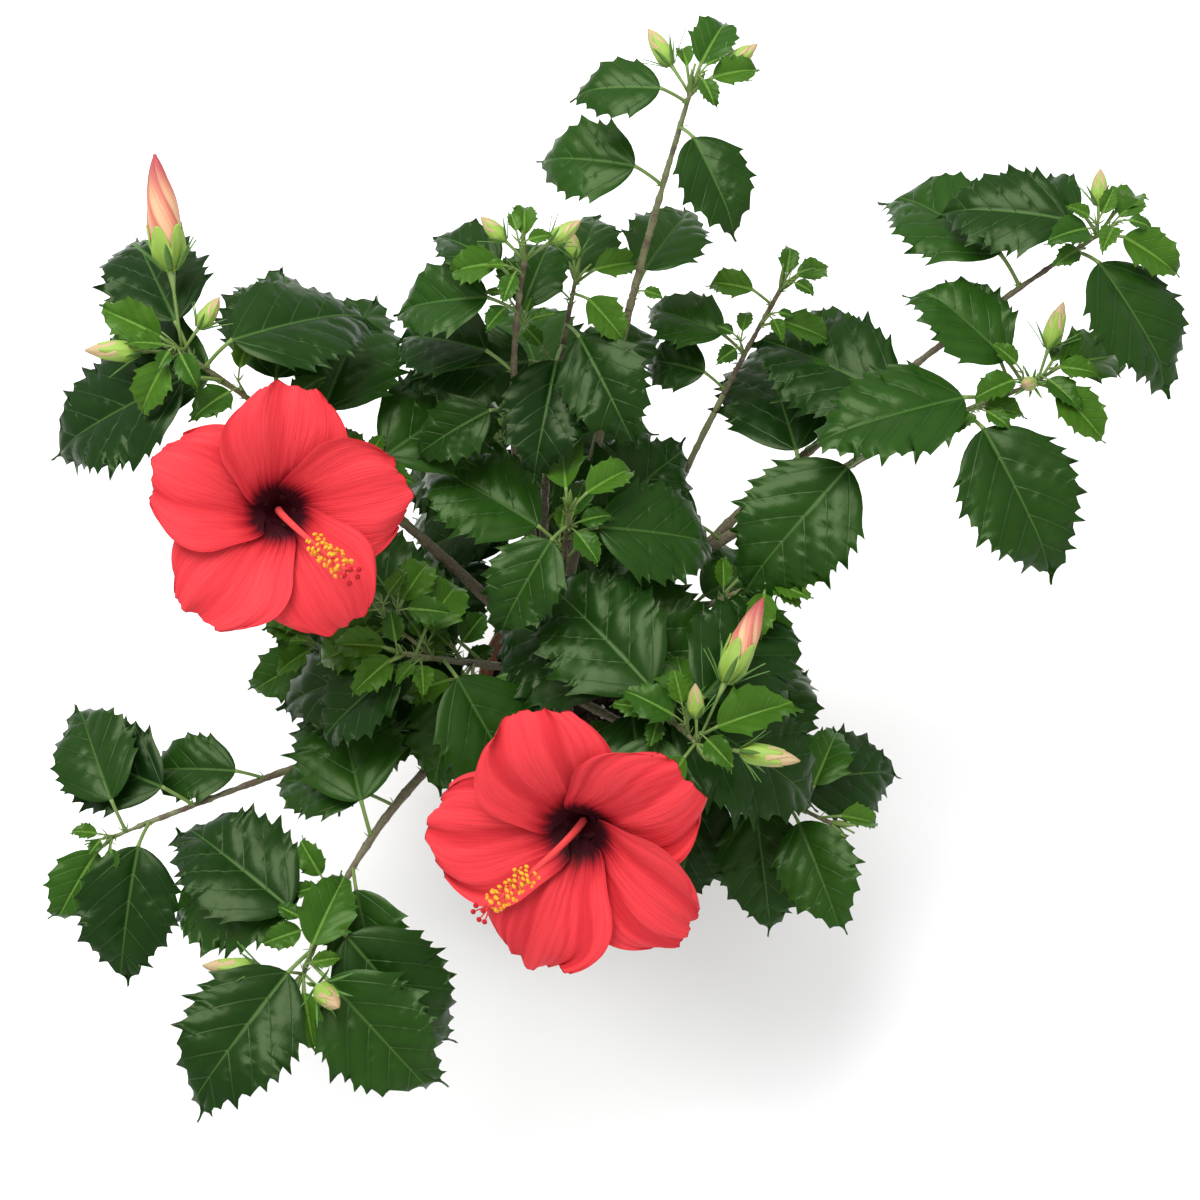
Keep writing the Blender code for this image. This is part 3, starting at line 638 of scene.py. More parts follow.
# A branch is the line of one bough and of the leafy stem that carries on from it.
#   parent, fork     the limb that it leaves, and the share of that limb's line where it does
#   tip              bearing from the pot's axis in degrees, reach and height in metres
#   arch, bow        how far the line's middle bulges upwards and to its left, in metres
#   bare             share of the line that is bare bough
#   radius           at the bough's foot
#   leaf             length of the largest leaf
#   young            about how many leaves at the tip are still small
#   crowding         how strongly the leaves gather towards the tip
#   headings         the way each leaf points, in degrees, from the stem's foot to its tip
#   buds             (heading, rise, stage) of each flower bud at the tip
Branch = namedtuple(
    "Branch", "name parent fork tip arch bow bare radius leaf young crowding headings buds"
)

BRANCHES = [Branch(*row) for row in (
    ("right", "trunk", 0.80, (24, 0.227, 0.350), 0.060, 0.012, 0.36, 0.0038, 0.088, 3.4, 3.2,
     (155, 105, -138, 144, -60, -160, 115, 124, 23, -47, 65), ((72, 40, 0.25), (225, 55, 0.0))),
    ("far_right", "right", 0.30, (33, 0.277, 0.390), -0.005, 0.016, 0.54, 0.0028, 0.080, 2.6, 6.5,
     (159, 137, -60, 172, 150, -36, 86), ((88, 25, 0.1),)),
    ("back_right", "right", 0.17, (59, 0.162, 0.360), -0.020, 0.010, 0.70, 0.0024, 0.060, 2.6, 2.0,
     (147, 157, -14, 157, 28), ()),
    ("back", "trunk", 0.97, (79, 0.187, 0.460), 0.000, 0.010, 0.66, 0.0036, 0.058, 3.0, 5.5,
     (65, 162, -58, 178, 60, 20, 100), ((125, 20, 0.15), (35, 12, 0.2))),
    ("front_right", "trunk", 0.88, (-61, 0.086, 0.300), 0.030, 0.008, 0.28, 0.0034, 0.098, 2.6, 1.8,
     (137, 8, -100, -25, 150, -110, 126, 49, 90, 26, -122),
     ((64, 22, 0.8), (-14, 15, 0.4), (93, 40, 0.1))),
    ("left", "trunk", 0.90, (157, 0.215, 0.400), 0.020, -0.010, 0.55, 0.0036, 0.084, 1.7, 2.6,
     (40, 69, 98, 162, -160, 28, 119, 150, -122), ((96, 36, 1.0), (48, 30, 0.1), (190, 22, 0.3))),
    ("front_left", "trunk", 0.62, (231, 0.232, 0.270), 0.030, -0.034, 0.42, 0.0036, 0.082, 1.8, 2.6,
     (96, 167, 106, -80, 180, -50, 137, -128, -40, -120, 67, -80),
     ((178, 15, 0.35), (-45, 50, 0.35), (-88, 5, 0.1))),
    ("far_left", "trunk", 0.48, (203, 0.271, 0.240), 0.020, 0.000, 0.66, 0.0030, 0.074, 1.5, 3.5,
     (178, 162, -92, 115, 240, -95), ()),
    ("inner_back", "trunk", 0.64, (97, 0.136, 0.375), -0.020, 0.020, 0.42, 0.0032, 0.076, 2.6, 1.8,
     (30, 170, -60, 150, -5, 200, -100, -58, 82, -47, 20), ((95, 45, 0.0),)),
    ("back_left", "inner_back", 0.30, (108, 0.127, 0.420), 0.000, 0.020, 0.55, 0.0026, 0.062, 2.2,
     2.0, (205, 150, 56, 172, 139, -177, 90), ((30, 20, 0.1), (143, 30, 0.05))),
    ("inner_left", "trunk", 0.79, (196, 0.105, 0.300), -0.005, 0.000, 0.40, 0.0028, 0.084, 2.2, 1.3,
     (60, 150, 250, 100, 190, -60, 130, 225, 60, 180), ()),
    ("front", "trunk", 0.54, (262, 0.100, 0.285), -0.020, 0.000, 0.45, 0.0032, 0.070, 1.8, 1.8,
     (185, -35, -130, 100, -75, 215, 20), ()),
    ("low_right", "trunk", 0.40, (-40, 0.148, 0.225), -0.010, 0.000, 0.50, 0.0028, 0.070, 1.5, 1.2,
     (-150, -100, 60, -80, 20, -60, 60, -50), ()),
    ("inner_right", "trunk", 0.60, (8, 0.084, 0.300), 0.010, 0.000, 0.50, 0.0028, 0.076, 2.2, 1.2,
     (-100, 30, -150, 60, -60, 20, -105), ()),
    ("middle", "trunk", 1.00, (120, 0.040, 0.330), 0.000, 0.000, 0.12, 0.0030, 0.092, 2.6, 1.8,
     (20, 175, 120, -40, 60, 140, 0, 235, 100, 40), ()),
    ("low_left", "trunk", 0.26, (180, 0.155, 0.225), -0.010, 0.000, 0.36, 0.0028, 0.076, 1.5, 1.2,
     (120, 230, -100, 60, 150, 250, 95, 205, 175), ()),
    ("low_back", "trunk", 0.34, (112, 0.150, 0.240), -0.010, 0.000, 0.34, 0.0028, 0.076, 1.8, 1.2,
     (30, 150, 80, 200, -40, 110, 20, 170, 60, 120), ()),
)]


def direction(heading, rise=0.0):
    """A unit vector from a compass heading and a rise above level, in degrees."""
    turn = math.radians(heading)
    lift = math.radians(rise)
    level = math.cos(lift)
    return Vector((math.cos(turn) * level, math.sin(turn) * level, math.sin(lift)))


def place(bearing, reach, height):
    return direction(bearing) * reach + UP * height


def limb(line, start, end, sides, steps, foot=None):
    """The stretch of a line from start, or from where it crosses the plane of its foot, to end."""
    while foot and (line.at(start) - foot[0]).dot(foot[1]) < 0:
        start += 0.002
    shares = [start + (end - start) * step / steps for step in range(steps + 1)]
    return tube([line.at(s) for s in shares], [line.radius(s) for s in shares], sides, foot)


def branch_line(branch, lines):
    parent = lines[branch.parent]
    start = parent.at(branch.fork)
    tip = place(*branch.tip)
    level = (tip - start) - UP * (tip - start).z
    left = UP.cross(level.normalized())
    middle = (start + tip) / 2 + UP * branch.arch + left * branch.bow
    grain = parent.along(branch.fork)
    if branch.fork == 1:  # it carries on from its parent's tip
        start = start + grain * GAP
        return Line(start, middle, tip, branch.radius, TIP_RADIUS), (start, grain)
    line = Line(start, middle, tip, branch.radius, TIP_RADIUS)
    outward = line.along(0)
    normal = (outward - grain * outward.dot(grain)).normalized()
    skin = start + normal * (parent.radius(branch.fork - COLLAR_SHARE) + JOINT_CLEARANCE)
    return line, (skin, normal)


def bark_sleeve(skin, line, stretch, sides, collar, seed):
    """A stretch of limb with a swollen collar at its foot, ring scars and fine bumps."""
    start, end = stretch
    shares = np.linspace(start, end, BOUGH_LOOK_ROWS)
    length = (line.at(end) - line.at(start)).length
    run = (shares - start) * length / (end - start)
    radii = np.array([line.radius(share) for share in shares])
    radii = radii * (1 + collar * np.exp(-((run / COLLAR_LENGTH) ** 2)))
    from_scar = np.abs((run / SCAR_SPACING + seed * 0.37) % 1 - 0.5) * SCAR_SPACING
    radii = radii + SCAR_HEIGHT * np.exp(-((from_scar / SCAR_WIDTH) ** 2))
    points, spokes = sleeve([line.at(share) for share in shares], radii, sides)
    points = points + spokes * bumps(points, BOUGH_BUMPS, seed)[..., None]
    aged = np.repeat(shares, sides)
    skin.tube(points, stem=np.stack([aged, np.full(aged.size, seed % 7 / 7), aged * 0], axis=-1))


bough_skin = Skin()
for number, branch in enumerate(BRANCHES):
    line, foot = branch_line(branch, lines)
    lines[branch.name] = line
    bough = limb(line, 0.0, branch.bare, BOUGH_SIDES, BOUGH_STEPS, foot)
    grown.add(f"bough_{branch.name}", bough)
    stretch = (0.0, branch.bare)
    bark_sleeve(bough_skin, line, stretch, BOUGH_LOOK_SIDES, COLLAR_SWELLING, 20 + number)

bough_finish = Finish("young_bark", Roughness=0.70, Specular_IOR_Level=0.35)
aged, _, _ = bough_finish.parts_of("stem")
lined = bough_finish.grain(1500, 300)
patches = bough_finish.noise(90.0)
brown = lined.step(0.3, 0.7).mixed(YOUNG_BARK_SHADE, YOUNG_BARK)
green = patches.step(0.4, 0.65).mixed(GREEN_STEM, RED_STEM)
greening = (aged + patches * 0.5).step(0.45, 1.05)
bough_finish.paint(Base_Color=greening.mixed(brown, green))
bough_finish.relief(lined + bough_finish.dots(520.0, 0.12, 0.22), 0.00025)
bough_nodes = (f"bough_{branch.name}" for branch in BRANCHES)
bough_skin.piece("bough_bark", bough_finish, "young_bark", *bough_nodes)


# The flower buds stand on their own stalks at the stems' tips. A bud is a spiral roll of petals
# in a green calyx of five lobes, with a ring of narrow bracts round its foot.

BUD_LENGTH = (0.013, 0.052)  # when newest and when about to open, as the next two
BUD_RADIUS = (0.0034, 0.0075)
BUD_STALK = (0.012, 0.038)
BUD_SIDES = 6
STALK_RADIUS = 0.0009
TWIG_SIDES = 3
STEM_SIDES = 5
STEM_STEPS = 6
BUD_PROFILE = ((0.00, 0.45), (0.16, 0.90), (0.38, 1.00), (0.68, 0.72), (0.90, 0.30))
BUD_NODE = 0.995  # where the buds' stalks leave the stem
LOBES = 5
BRACTS = 7
BUD_ROWS = 38
BUD_LOOK_SIDES = 50
BUD_TWIST = 2.6  # radians from the bud's foot to its tip
BUD_ROLL = 0.16  # how far each petal's edge stands out of the roll, as a share of its radius
BUD_PINK = (0.50, 0.115, 0.080)
BUD_CREAM = (0.66, 0.39, 0.22)
BUD_TIP = (0.38, 0.050, 0.065)
BUD_PALE = (0.46, 0.33, 0.17)  # petals of a young bud
CALYX_GREEN = (0.235, 0.365, 0.055)
BRACT_GREEN = (0.085, 0.20, 0.035)


def bud_frame(node, heading, rise, stage):
    """A bud's axis, its foot at the end of its stalk, its length and its radius."""
    out = direction(heading, rise)
    base = node + out * between(BUD_STALK, stage)
    return out, base, between(BUD_LENGTH, stage), between(BUD_RADIUS, stage)


def bud_bodies(node, heading, rise, stage):
    """A flower bud and its stalk."""
    out, base, length, girth = bud_frame(node, heading, rise, stage)
    centres = [base + out * length * share for share, _ in BUD_PROFILE]
    radii = [girth * share for _, share in BUD_PROFILE]
    body = tube(centres, radii, BUD_SIDES)
    root = tube([node, base + out * length * 0.1], [STALK_RADIUS, STALK_RADIUS * 1.2], TWIG_SIDES)
    return root, body


def stem_bodies(branch, line):
    """The leafy stem that carries on from a bough, with its buds."""
    start = branch.bare
    step = GAP / (line.at(start + 0.01) - line.at(start)).length * 0.01
    bodies = [limb(line, start + step, 1.0, STEM_SIDES, STEM_STEPS)]
    for heading, rise, stage in branch.buds:
        bodies.extend(bud_bodies(line.at(BUD_NODE), heading, rise, stage))
    return bodies


def spoke_of(axis, turn):
    """The direction across an axis at this turn."""
    side, other = frame_of(axis)
    return side * math.cos(turn) + other * math.sin(turn)


def blade_strip(skin, base, way, out, length, width, curl, rows=9, **values):
    """A narrow pointed blade such as a bract, calyx lobe or stipule, as a thin closed sheet."""
    way, out = way.normalized(), out.normalized()
    base, way, out, across = (np.array(v) for v in (base, way, out, way.cross(out).normalized()))
    shares = np.linspace(0, 1, rows)[:, None]
    middle = base + (way * shares + out * (curl * shares**2)) * length
    half = width / 2 * np.sin(math.pi * (0.22 + 0.78 * shares)) ** 0.8 / 0.95
    half[-1] = width * 0.02
    thick = width * 0.14 + 0.00008
    offsets = ((1, 0), (0, thick), (-1, 0), (0, -thick))
    lines = [middle + half * across * a + out * b for a, b in offsets]
    skin.tube(np.stack(lines, axis=1), **values)


def calyx_of(skin, base, axis, girth, length, full, opening, cleft, spread, seed):
    """A calyx with the bracts round it.

    full is the share of its length from which it has its full girth, and cleft the share to which
    its lobes part. opening is the flare of its rim, as a share of its girth, and the power of the
    curve to it. spread is how far the bracts lean out.
    """
    seeded = random.Random(seed)
    rows, sides = 22, 50
    shares = np.linspace(0, 1, rows)[:, None]
    turns = turns_of(sides)
    lobe = np.abs(np.cos(turns * LOBES / 2)) ** 0.7
    cup = np.sin(math.pi / 2 * np.minimum(shares / full, 1)) ** 0.8
    ribs = 1 + 0.03 * np.cos(turns * LOBES * 2)
    radii = girth * (0.22 + 0.80 * cup + opening[0] * shares ** opening[1]) * ribs
    heights = shares * length * (1 - cleft + cleft * lobe)
    outer = turned_grid(base, axis, radii, heights, turns)
    inner = turned_grid(base, axis, radii - girth * 0.07, heights, turns)
    skin.tube(np.concatenate([outer, inner[::-1]]), bud=(0, 0, 0))
    for number in range(BRACTS):
        out = spoke_of(axis, 2 * math.pi * number / BRACTS + seeded.uniform(-0.15, 0.15))
        foot = base + out * girth * 0.5 + axis * girth * 0.1
        way = axis + out * spread * seeded.uniform(0.7, 1.3)
        reach = length * seeded.uniform(0.62, 0.85)
        blade_strip(skin, foot, way, out, reach, girth * 0.38, 0.15, bud=(0.2, 1.0, 0))


bud_skin = Skin()
calyx_skin = Skin()
stalks = []  # (points of a stalk, its radii), which join the stems below


def dress_bud(node, heading, rise, stage, seed):
    """The rolled petals, their calyx, which closes over a young bud, and the stalk."""
    out, base, length, girth = bud_frame(node, heading, rise, stage)
    shares = np.linspace(0, 1, BUD_ROWS)[:, None]
    turns = turns_of(BUD_LOOK_SIDES)
    round_out = np.sin(math.pi * np.clip(shares, 0.015, 0.985) ** 0.75) ** 0.70
    fold = (turns * LOBES / (2 * math.pi)) % 1
    roll = (fold - 0.5) * BUD_ROLL * np.minimum(shares * 3, 1)
    radii = girth * 0.98 * round_out * (1 + roll)
    points = turned_grid(base, out, radii, length * shares, turns - shares * BUD_TWIST)
    held = np.stack(np.broadcast_arrays(shares, fold, stage), axis=-1)
    bud_skin.tube(points, bud=held.reshape(-1, 3))
    cup = length * between((0.97, 0.42), stage)
    opening = (0.02 - 0.75 * (1 - stage) ** 2, 4)
    cleft = between((0.14, 0.52), stage)
    full = 0.36 * length / cup
    foot = base - out * 0.0008
    calyx_of(calyx_skin, foot, out, girth * 1.06, cup, full, opening, cleft, 0.8, seed)
    bend = node.lerp(base, 0.5) + UP * 0.0012
    stalks.append(([node, node.lerp(bend, 0.6), bend.lerp(base, 0.5), base + out * 0.001],
                   [0.0008, 0.0007, 0.0008, girth * 0.30]))


for number, branch in enumerate(BRANCHES):
    line = lines[branch.name]
    grown.add(f"foliage_{branch.name}", *stem_bodies(branch, line))
    for count, (heading, rise, stage) in enumerate(branch.buds):
        dress_bud(line.at(BUD_NODE), heading, rise, stage, number * 10 + count)

bud_finish = Finish("rolled_petals", Roughness=0.5, Specular_IOR_Level=0.4)
along, fold, stage = bud_finish.parts_of("bud")
fine = bud_finish.noise(1.6, where=bud_finish.vector(fold * 9, along * 1.5, stage * 7))
rolled = (fold * 0.6 + fine * 0.7).step(0.35, 0.95).mixed(BUD_CREAM, BUD_PINK)
rolled = along.step(0.55, 1.0).mixed(rolled, BUD_TIP)
bud_finish.paint(Base_Color=stage.step(0.45, 0.80).mixed(BUD_PALE, rolled))
bud_finish.relief(fine, 0.0003)
bud_skin.piece("flower_buds", bud_finish, "petals")

calyx_finish = Finish("calyx", Roughness=0.55, Specular_IOR_Level=0.4)
_, kind, _ = calyx_finish.parts_of("bud")
mottle = calyx_finish.noise(400.0)
shade = (kind + mottle * 0.3).step(0.2, 1.0)
calyx_finish.paint(Base_Color=shade.mixed(CALYX_GREEN, BRACT_GREEN))
calyx_finish.relief(mottle, 0.0002)


# The two blooms face up out of the shrub on stalks of their own. Five broad petals overlap round
# a dark throat, and a long column carries yellow anthers and, past them, five red stigmas.

PETALS = 5
PETAL_THICKNESS = 0.0009
PETAL_ROWS = 4
PETAL_COLUMNS = 4
PETAL_LOOK_ROWS = 56
PETAL_LOOK_COLUMNS = 48
FUNNEL_DEPTH = 0.42  # from the centre down to the petals' claws, as a share of a petal
CALYX_DEPTH = 0.014
ELBOW = 0.012
FLOWER_STALK_RADII = (0.0019, 0.0016, 0.0015, 0.0015)
CALYX_PROFILE = ((-0.002, 0.0026), (0.006, 0.0062), (0.0152, 0.0070))
CALYX_SIDES = 8
COLUMN_FOOT = 0.010
COLUMN_LENGTH = 0.066
COLUMN_RADIUS = 0.0014
COLUMN_SIDES = 6
COLUMN_PROFILE = (
    (0.00, 1.5), (0.55, 1.0), (0.64, 2.8), (0.80, 3.6),
    (0.90, 2.4), (0.93, 1.2), (0.97, 2.4), (1.0, 1.4),
)
# The throat's radius and height inside the calyx
THROAT = ((0.0010, 0.0080), (0.0036, 0.0104), (0.0054, 0.0140), (0.0076, 0.0162))
CREASES = {"bloom_left": 0.8, "bloom_front": 1.9}  # how deep the folds of a bloom's petals are
FOLD_HEIGHT = 0.011  # shares of a petal's length, as the next three
FINE_FOLD_HEIGHT = 0.0035
RIM_WAVE_HEIGHT = 0.030
RIM_RIPPLE_HEIGHT = 0.012
PETAL_SHEET = 0.00022
ANTHERS = 64
ANTHER_SPAN = (0.60, 0.93)  # the stretch of the column that carries them
ANTHER_RADIUS = (0.0007, 0.0010)
ANTHER_THREAD = (0.0032, 0.0058)
STIGMAS = 5
STIGMA_RADIUS = 0.0013
STIGMA_SPREAD = 0.0040
PETAL_RED = (0.67, 0.040, 0.050)
PETAL_DEEP = (0.44, 0.012, 0.020)
PETAL_HALO = (0.34, 0.006, 0.014)
PETAL_EYE = (0.030, 0.001, 0.004)
POLLEN = (0.76, 0.34, 0.025)
STIGMA_RED = (0.40, 0.006, 0.013)
COLUMN_RED = (0.72, 0.060, 0.060)

# A flowering twig: parent, fork, the bloom's centre as bearing, reach and height, the way it
# faces as heading and rise, the turn of its first petal, its petals' length, and how far its
# column's end leans to the right and down.
Bloom = namedtuple("Bloom", "name parent fork centre facing turn petal lean")

BLOOMS = (
    Bloom("bloom_left", "left", 0.56, (177, 0.151, 0.385), (-72, 60), 68, 0.061, (0.024, 0.030)),
    Bloom("bloom_front", "front", 0.58, (262, 0.140, 0.350), (-109, 48), 50, 0.067,
          (-0.026, 0.024)),
)


class Flower:
    """An open bloom's own frame, with its axis out of the throat."""

    def __init__(self, bloom):
        self.centre = place(*bloom.centre)
        self.axis = direction(*bloom.facing)
        self.right = UP.cross(self.axis).normalized()
        self.up = self.axis.cross(self.right)
        self.petal = bloom.petal
        self.turn = bloom.turn
        self.depth = bloom.petal * FUNNEL_DEPTH
        self.back = self.centre - self.axis * (self.depth + CALYX_DEPTH)
        self.lean = self.right * bloom.lean[0] - self.up * bloom.lean[1]

    def column_point(self, along):
        rise = self.axis * (COLUMN_FOOT + COLUMN_LENGTH * along)
        return self.back + rise + self.lean * along**1.6

    def petal_point(self, number, along, side):
        """A point of a petal: along from its claw to its rim, side from -1 to 1."""
        turn = math.radians(self.turn + 360 / PETALS * number)
        radius = self.petal * (0.09 + 0.91 * along)
        half = self.petal * petal_half_width(along)
        lift = self.depth * (1 - (1 - along) ** 2.4) - self.depth
        lift += self.petal * (0.055 * side * (0.4 + along) - 0.10 * along**5)
        turn += side * half / max(radius, self.petal * 0.2)
        spoke = self.right * math.cos(turn) + self.up * math.sin(turn)
        radius *= 1 - 0.10 * side * side * along
        return self.centre + spoke * radius + self.axis * lift


def petal_half_width(along):
    """Half the petal's width, as a share of its length: a narrow claw opens to a round blade."""
    opening = 0.09 + 0.48 * math.sin(math.pi / 2 * min(along / 0.72, 1)) ** 1.4
    closing = math.sqrt(max(1 - max((along - 0.72) / 0.34, 0) ** 2.2, 0))
    return opening * closing


def petal_solid(flower, number):
    """One petal as a plain closed shell of even thickness."""
    shares = np.linspace(0, 1, PETAL_ROWS + 1)
    sides = np.linspace(-1, 1, PETAL_COLUMNS + 1)
    grid = np.array([[flower.petal_point(number, a, b) for b in sides] for a in shares])
    half = np.array(flower.axis) * PETAL_THICKNESS / 2
    return solid_of(np.concatenate([grid + half, (grid - half)[:, ::-1]], axis=1))


def bloom_bodies(bloom, flower, lines):
    """The centres of the flowering twig's stalk, and its plain solids."""
    parent = lines[bloom.parent]
    start = parent.at(bloom.fork)
    outward = (flower.back - start).normalized()
    grain = parent.along(bloom.fork)
    normal = (outward - grain * outward.dot(grain)).normalized()
    skin = start + normal * (parent.radius(bloom.fork) + JOINT_CLEARANCE)
    elbow = flower.back - flower.axis * ELBOW
    ends = [start, start.lerp(elbow, 0.5), elbow, flower.back]
    twig = tube(ends, FLOWER_STALK_RADII, STEM_SIDES, (skin, normal))
    heights, radii = zip(*CALYX_PROFILE)
    calyx = tube([flower.back + flower.axis * height for height in heights], radii, CALYX_SIDES)
    centres = [flower.column_point(share) for share, _ in COLUMN_PROFILE]
    column = tube(centres, [COLUMN_RADIUS * girth for _, girth in COLUMN_PROFILE], COLUMN_SIDES)
    return ends, [twig, calyx, column, *(petal_solid(flower, number) for number in range(PETALS))]


def dress_petal(skin, flower, number, crease, seed):
    """A thin petal with a waved rim and radiating folds, as one closed sheet."""
    seeded = np.random.default_rng(seed)
    rows, columns = PETAL_LOOK_ROWS, PETAL_LOOK_COLUMNS
    shares = np.linspace(0, 1, rows) ** 0.9
    sides = np.sin(np.linspace(-1, 1, columns) * math.pi / 2)
    grid = np.array([
        [flower.petal_point(number, min(along, 0.992), side * claw) for side in sides]
        for along, claw in zip(shares, 1 + 0.9 * np.exp(-((shares / 0.23) ** 2)))
    ])
    axis = np.array(flower.axis)
    along, side = np.meshgrid(shares, sides, indexing="ij")
    phase = seeded.uniform(0, 6.28, 8)
    bent = side + 0.05 * np.sin(along * 5 + phase[0])
    folds = np.sin(bent * 8 + phase[1]) + 0.6 * np.sin(bent * 17 + phase[2])
    fine = np.sin(bent * 38 + phase[3] + np.sin(along * 3))
    waves = np.sin(side * 4.5 + phase[4]) + 0.55 * np.sin(side * 10 + phase[5])
    lift = crease * (FOLD_HEIGHT * folds + FINE_FOLD_HEIGHT * fine) * along * (1.1 - 0.5 * along)
    lift = lift + RIM_WAVE_HEIGHT * waves * along**3.5
    lift = lift + RIM_RIPPLE_HEIGHT * np.sin(side * 24 + phase[6]) * along**9
    grid = grid + axis * (lift * flower.petal)[..., None]
    rim = 0.022 * np.sin(side * 6 + phase[7]) + 0.012 * np.sin(side * 15 + phase[1])
    rim = (rim + 0.006 * np.sin(side * 47 + phase[2])) * along**6
    spoke = grid - np.array(flower.centre)
    grid = grid + (spoke - (spoke @ axis)[..., None] * axis) * rim[..., None]
    normal = np.cross(np.gradient(grid, axis=0), np.gradient(grid, axis=1))
    normal /= np.linalg.norm(normal, axis=-1)[..., None] + 1e-12
    margin = np.minimum(1 - np.abs(side), 1 - along) * 12
    thick = PETAL_SHEET * np.clip(margin, 0, 1) + 0.00012 * (1 - along)
    lower = grid - normal * thick[..., None]
    held = np.stack([along, side, along * 0 + number], axis=-1)
    # Painted shade for the petal's folds: strongest in their valleys and fading out towards the
    # claw
    depth = np.clip(0.5 - crease * (0.25 * folds + 0.12 * fine), 0, 1) * smooth(along, 0.05, 0.3)
    sunk = np.stack([depth, depth * 0, depth * 0], axis=-1)
    sheet(skin, grid, lower, petal=(held, held), sunk=(sunk, sunk))


def sheet(skin, upper, lower, **values):
    """A thin closed sheet between two grids of points. A value is a pair of grids, one a side."""
    rows, columns = upper.shape[:2]
    points = np.concatenate([upper, lower[:, -2:0:-1]], axis=1)
    values = {
        name: np.concatenate([above, below[:, -2:0:-1]], axis=1).reshape(-1, 3)
        for name, (above, below) in values.items()
    }
    count = points.shape[1]
    edge = np.zeros((rows, count), bool)
    edge[:, [0, columns - 1]] = True
    index = np.arange(rows * count).reshape(rows, count)
    cells = tube_faces(rows, count)[0].reshape(rows - 1, count, 4)
    over, below = cells[:, :columns - 1], cells[:, columns - 1:]  # split along the same diagonals
    halves = (over[..., :3], over[..., [0, 2, 3]], below[..., [0, 1, 3]], below[..., 1:])
    faces = [*(half.reshape(-1, 3) for half in halves), index[:1, ::-1]]
    rim, under = index[-1, :columns], index[-1, [0, *range(count - 1, columns - 2, -1)]]
    end = np.stack([rim[:-1], rim[1:], under[1:], under[:-1]], axis=-1)
    faces += [end[1:-1], end[:1, [0, 1, 2]], end[-1:, [0, 1, 3]]]
    skin.add(points, faces, edge.ravel(), **values)


def smooth(x, low, high):
    share = np.clip((x - low) / (high - low), 0, 1)
    return share * share * (3 - 2 * share)


def grain_ball(skin, centre, radius, axis, stretch, **values):
    """A small round body, such as a pollen sac or a stigma."""
    rows, sides = 6, 8
    tilt = np.linspace(0.12, math.pi - 0.12, rows)[:, None]
    heights = -radius * stretch * np.cos(tilt)
    rings = turned_grid(centre, axis, radius * np.sin(tilt), heights, turns_of(sides))
    skin.tube(rings, **values)


def strand(skin, centres, radii, sides, **values):
    """A closed round strand along a centre line."""
    skin.tube(sleeve(centres, radii, sides)[0], **values)


def dress_column(skin, flower, seed):
    """The column, its anthers on short threads, and the five stigmas at its end."""
    seeded = random.Random(seed)
    shares = np.linspace(0, 0.95, 40)
    centres = [flower.column_point(share) for share in shares]
    strand(skin, centres, COLUMN_RADIUS * (1.35 - 0.75 * shares), 12, column=(0, 0, 0))
    axis = (flower.column_point(1) - flower.column_point(0.8)).normalized()
    for number in range(ANTHERS):
        foot = flower.column_point(between(ANTHER_SPAN, (number + seeded.random()) / ANTHERS))
        out = spoke_of(axis, number * 2.4 + seeded.uniform(-0.3, 0.3))
        way = (out + axis * seeded.uniform(0.1, 0.6)).normalized()
        reach = way * seeded.uniform(*ANTHER_THREAD)
        thread = [foot, foot + reach * 0.5, foot + reach]
        strand(skin, thread, [0.00018, 0.00014, 0.00012], 4, column=(0.2, 0, 0))
        radius = seeded.uniform(*ANTHER_RADIUS)
        grain_ball(skin, foot + reach, radius, out.cross(axis), 1.5, column=(1, 0, 0))
    tip = flower.column_point(0.95)
    for number in range(STIGMAS):
        out = spoke_of(axis, 2 * math.pi * number / STIGMAS + seeded.uniform(-0.2, 0.2))
        end = tip + axis * seeded.uniform(0.0040, 0.0055) + out * STIGMA_SPREAD
        bend = tip.lerp(end, 0.5) + out * 0.0006
        thread = [tip - axis * 0.001, bend, end]
        strand(skin, thread, [0.0005, 0.0004, 0.0003], 6, column=(0, 0, 0))
        grain_ball(skin, end, STIGMA_RADIUS, axis, 0.85, column=(2, 0, 0))


petal_finish = Finish("petals", Roughness=0.60, Specular_IOR_Level=0.14)
along, side, which = petal_finish.parts_of("petal")
sunk, _, _ = petal_finish.parts_of("sunk")
broad = petal_finish.vector(side * 7, along * 0.9, which * 5)
narrow = petal_finish.vector(side * 34, along * 1.6, which * 5)
streaks = petal_finish.noise(2.2, 4.0, 0.6, broad)
fine = petal_finish.noise(1.5, 2.0, 0.5, narrow)
red = (streaks * 0.6 + fine * 0.4).step(0.40, 0.66).mixed(PETAL_RED, PETAL_DEEP)
red = ((abs(side) * 0.2 + along * 0.8).step(0.1, 0.5) * 0.65).mixed(red, PETAL_RED)
# Painted shade: the valleys of the folds are darkened towards the deep red
red = (sunk.step(0.35, 1.1) * 0.75).mixed(red, PETAL_DEEP)
spread = streaks * 0.15 + fine * 0.06 - along
red = ((spread + 0.22).step(0.0, 0.17) * 0.8).mixed(red, PETAL_HALO)
petal_finish.paint(Base_Color=(spread + 0.112).step(0.0, 0.12).mixed(red, PETAL_EYE))
petal_finish.relief(fine * 0.7 + streaks, 0.0005)

column_finish = Finish("column", Roughness=0.60, Specular_IOR_Level=0.20)
kind, _, _ = column_finish.parts_of("column")
dusted = kind.step(0.4, 0.8).mixed(COLUMN_RED, POLLEN)
column_finish.paint(Base_Color=kind.step(1.3, 1.8).mixed(dusted, STIGMA_RED))
column_finish.relief(column_finish.noise(1800.0), 0.0003)

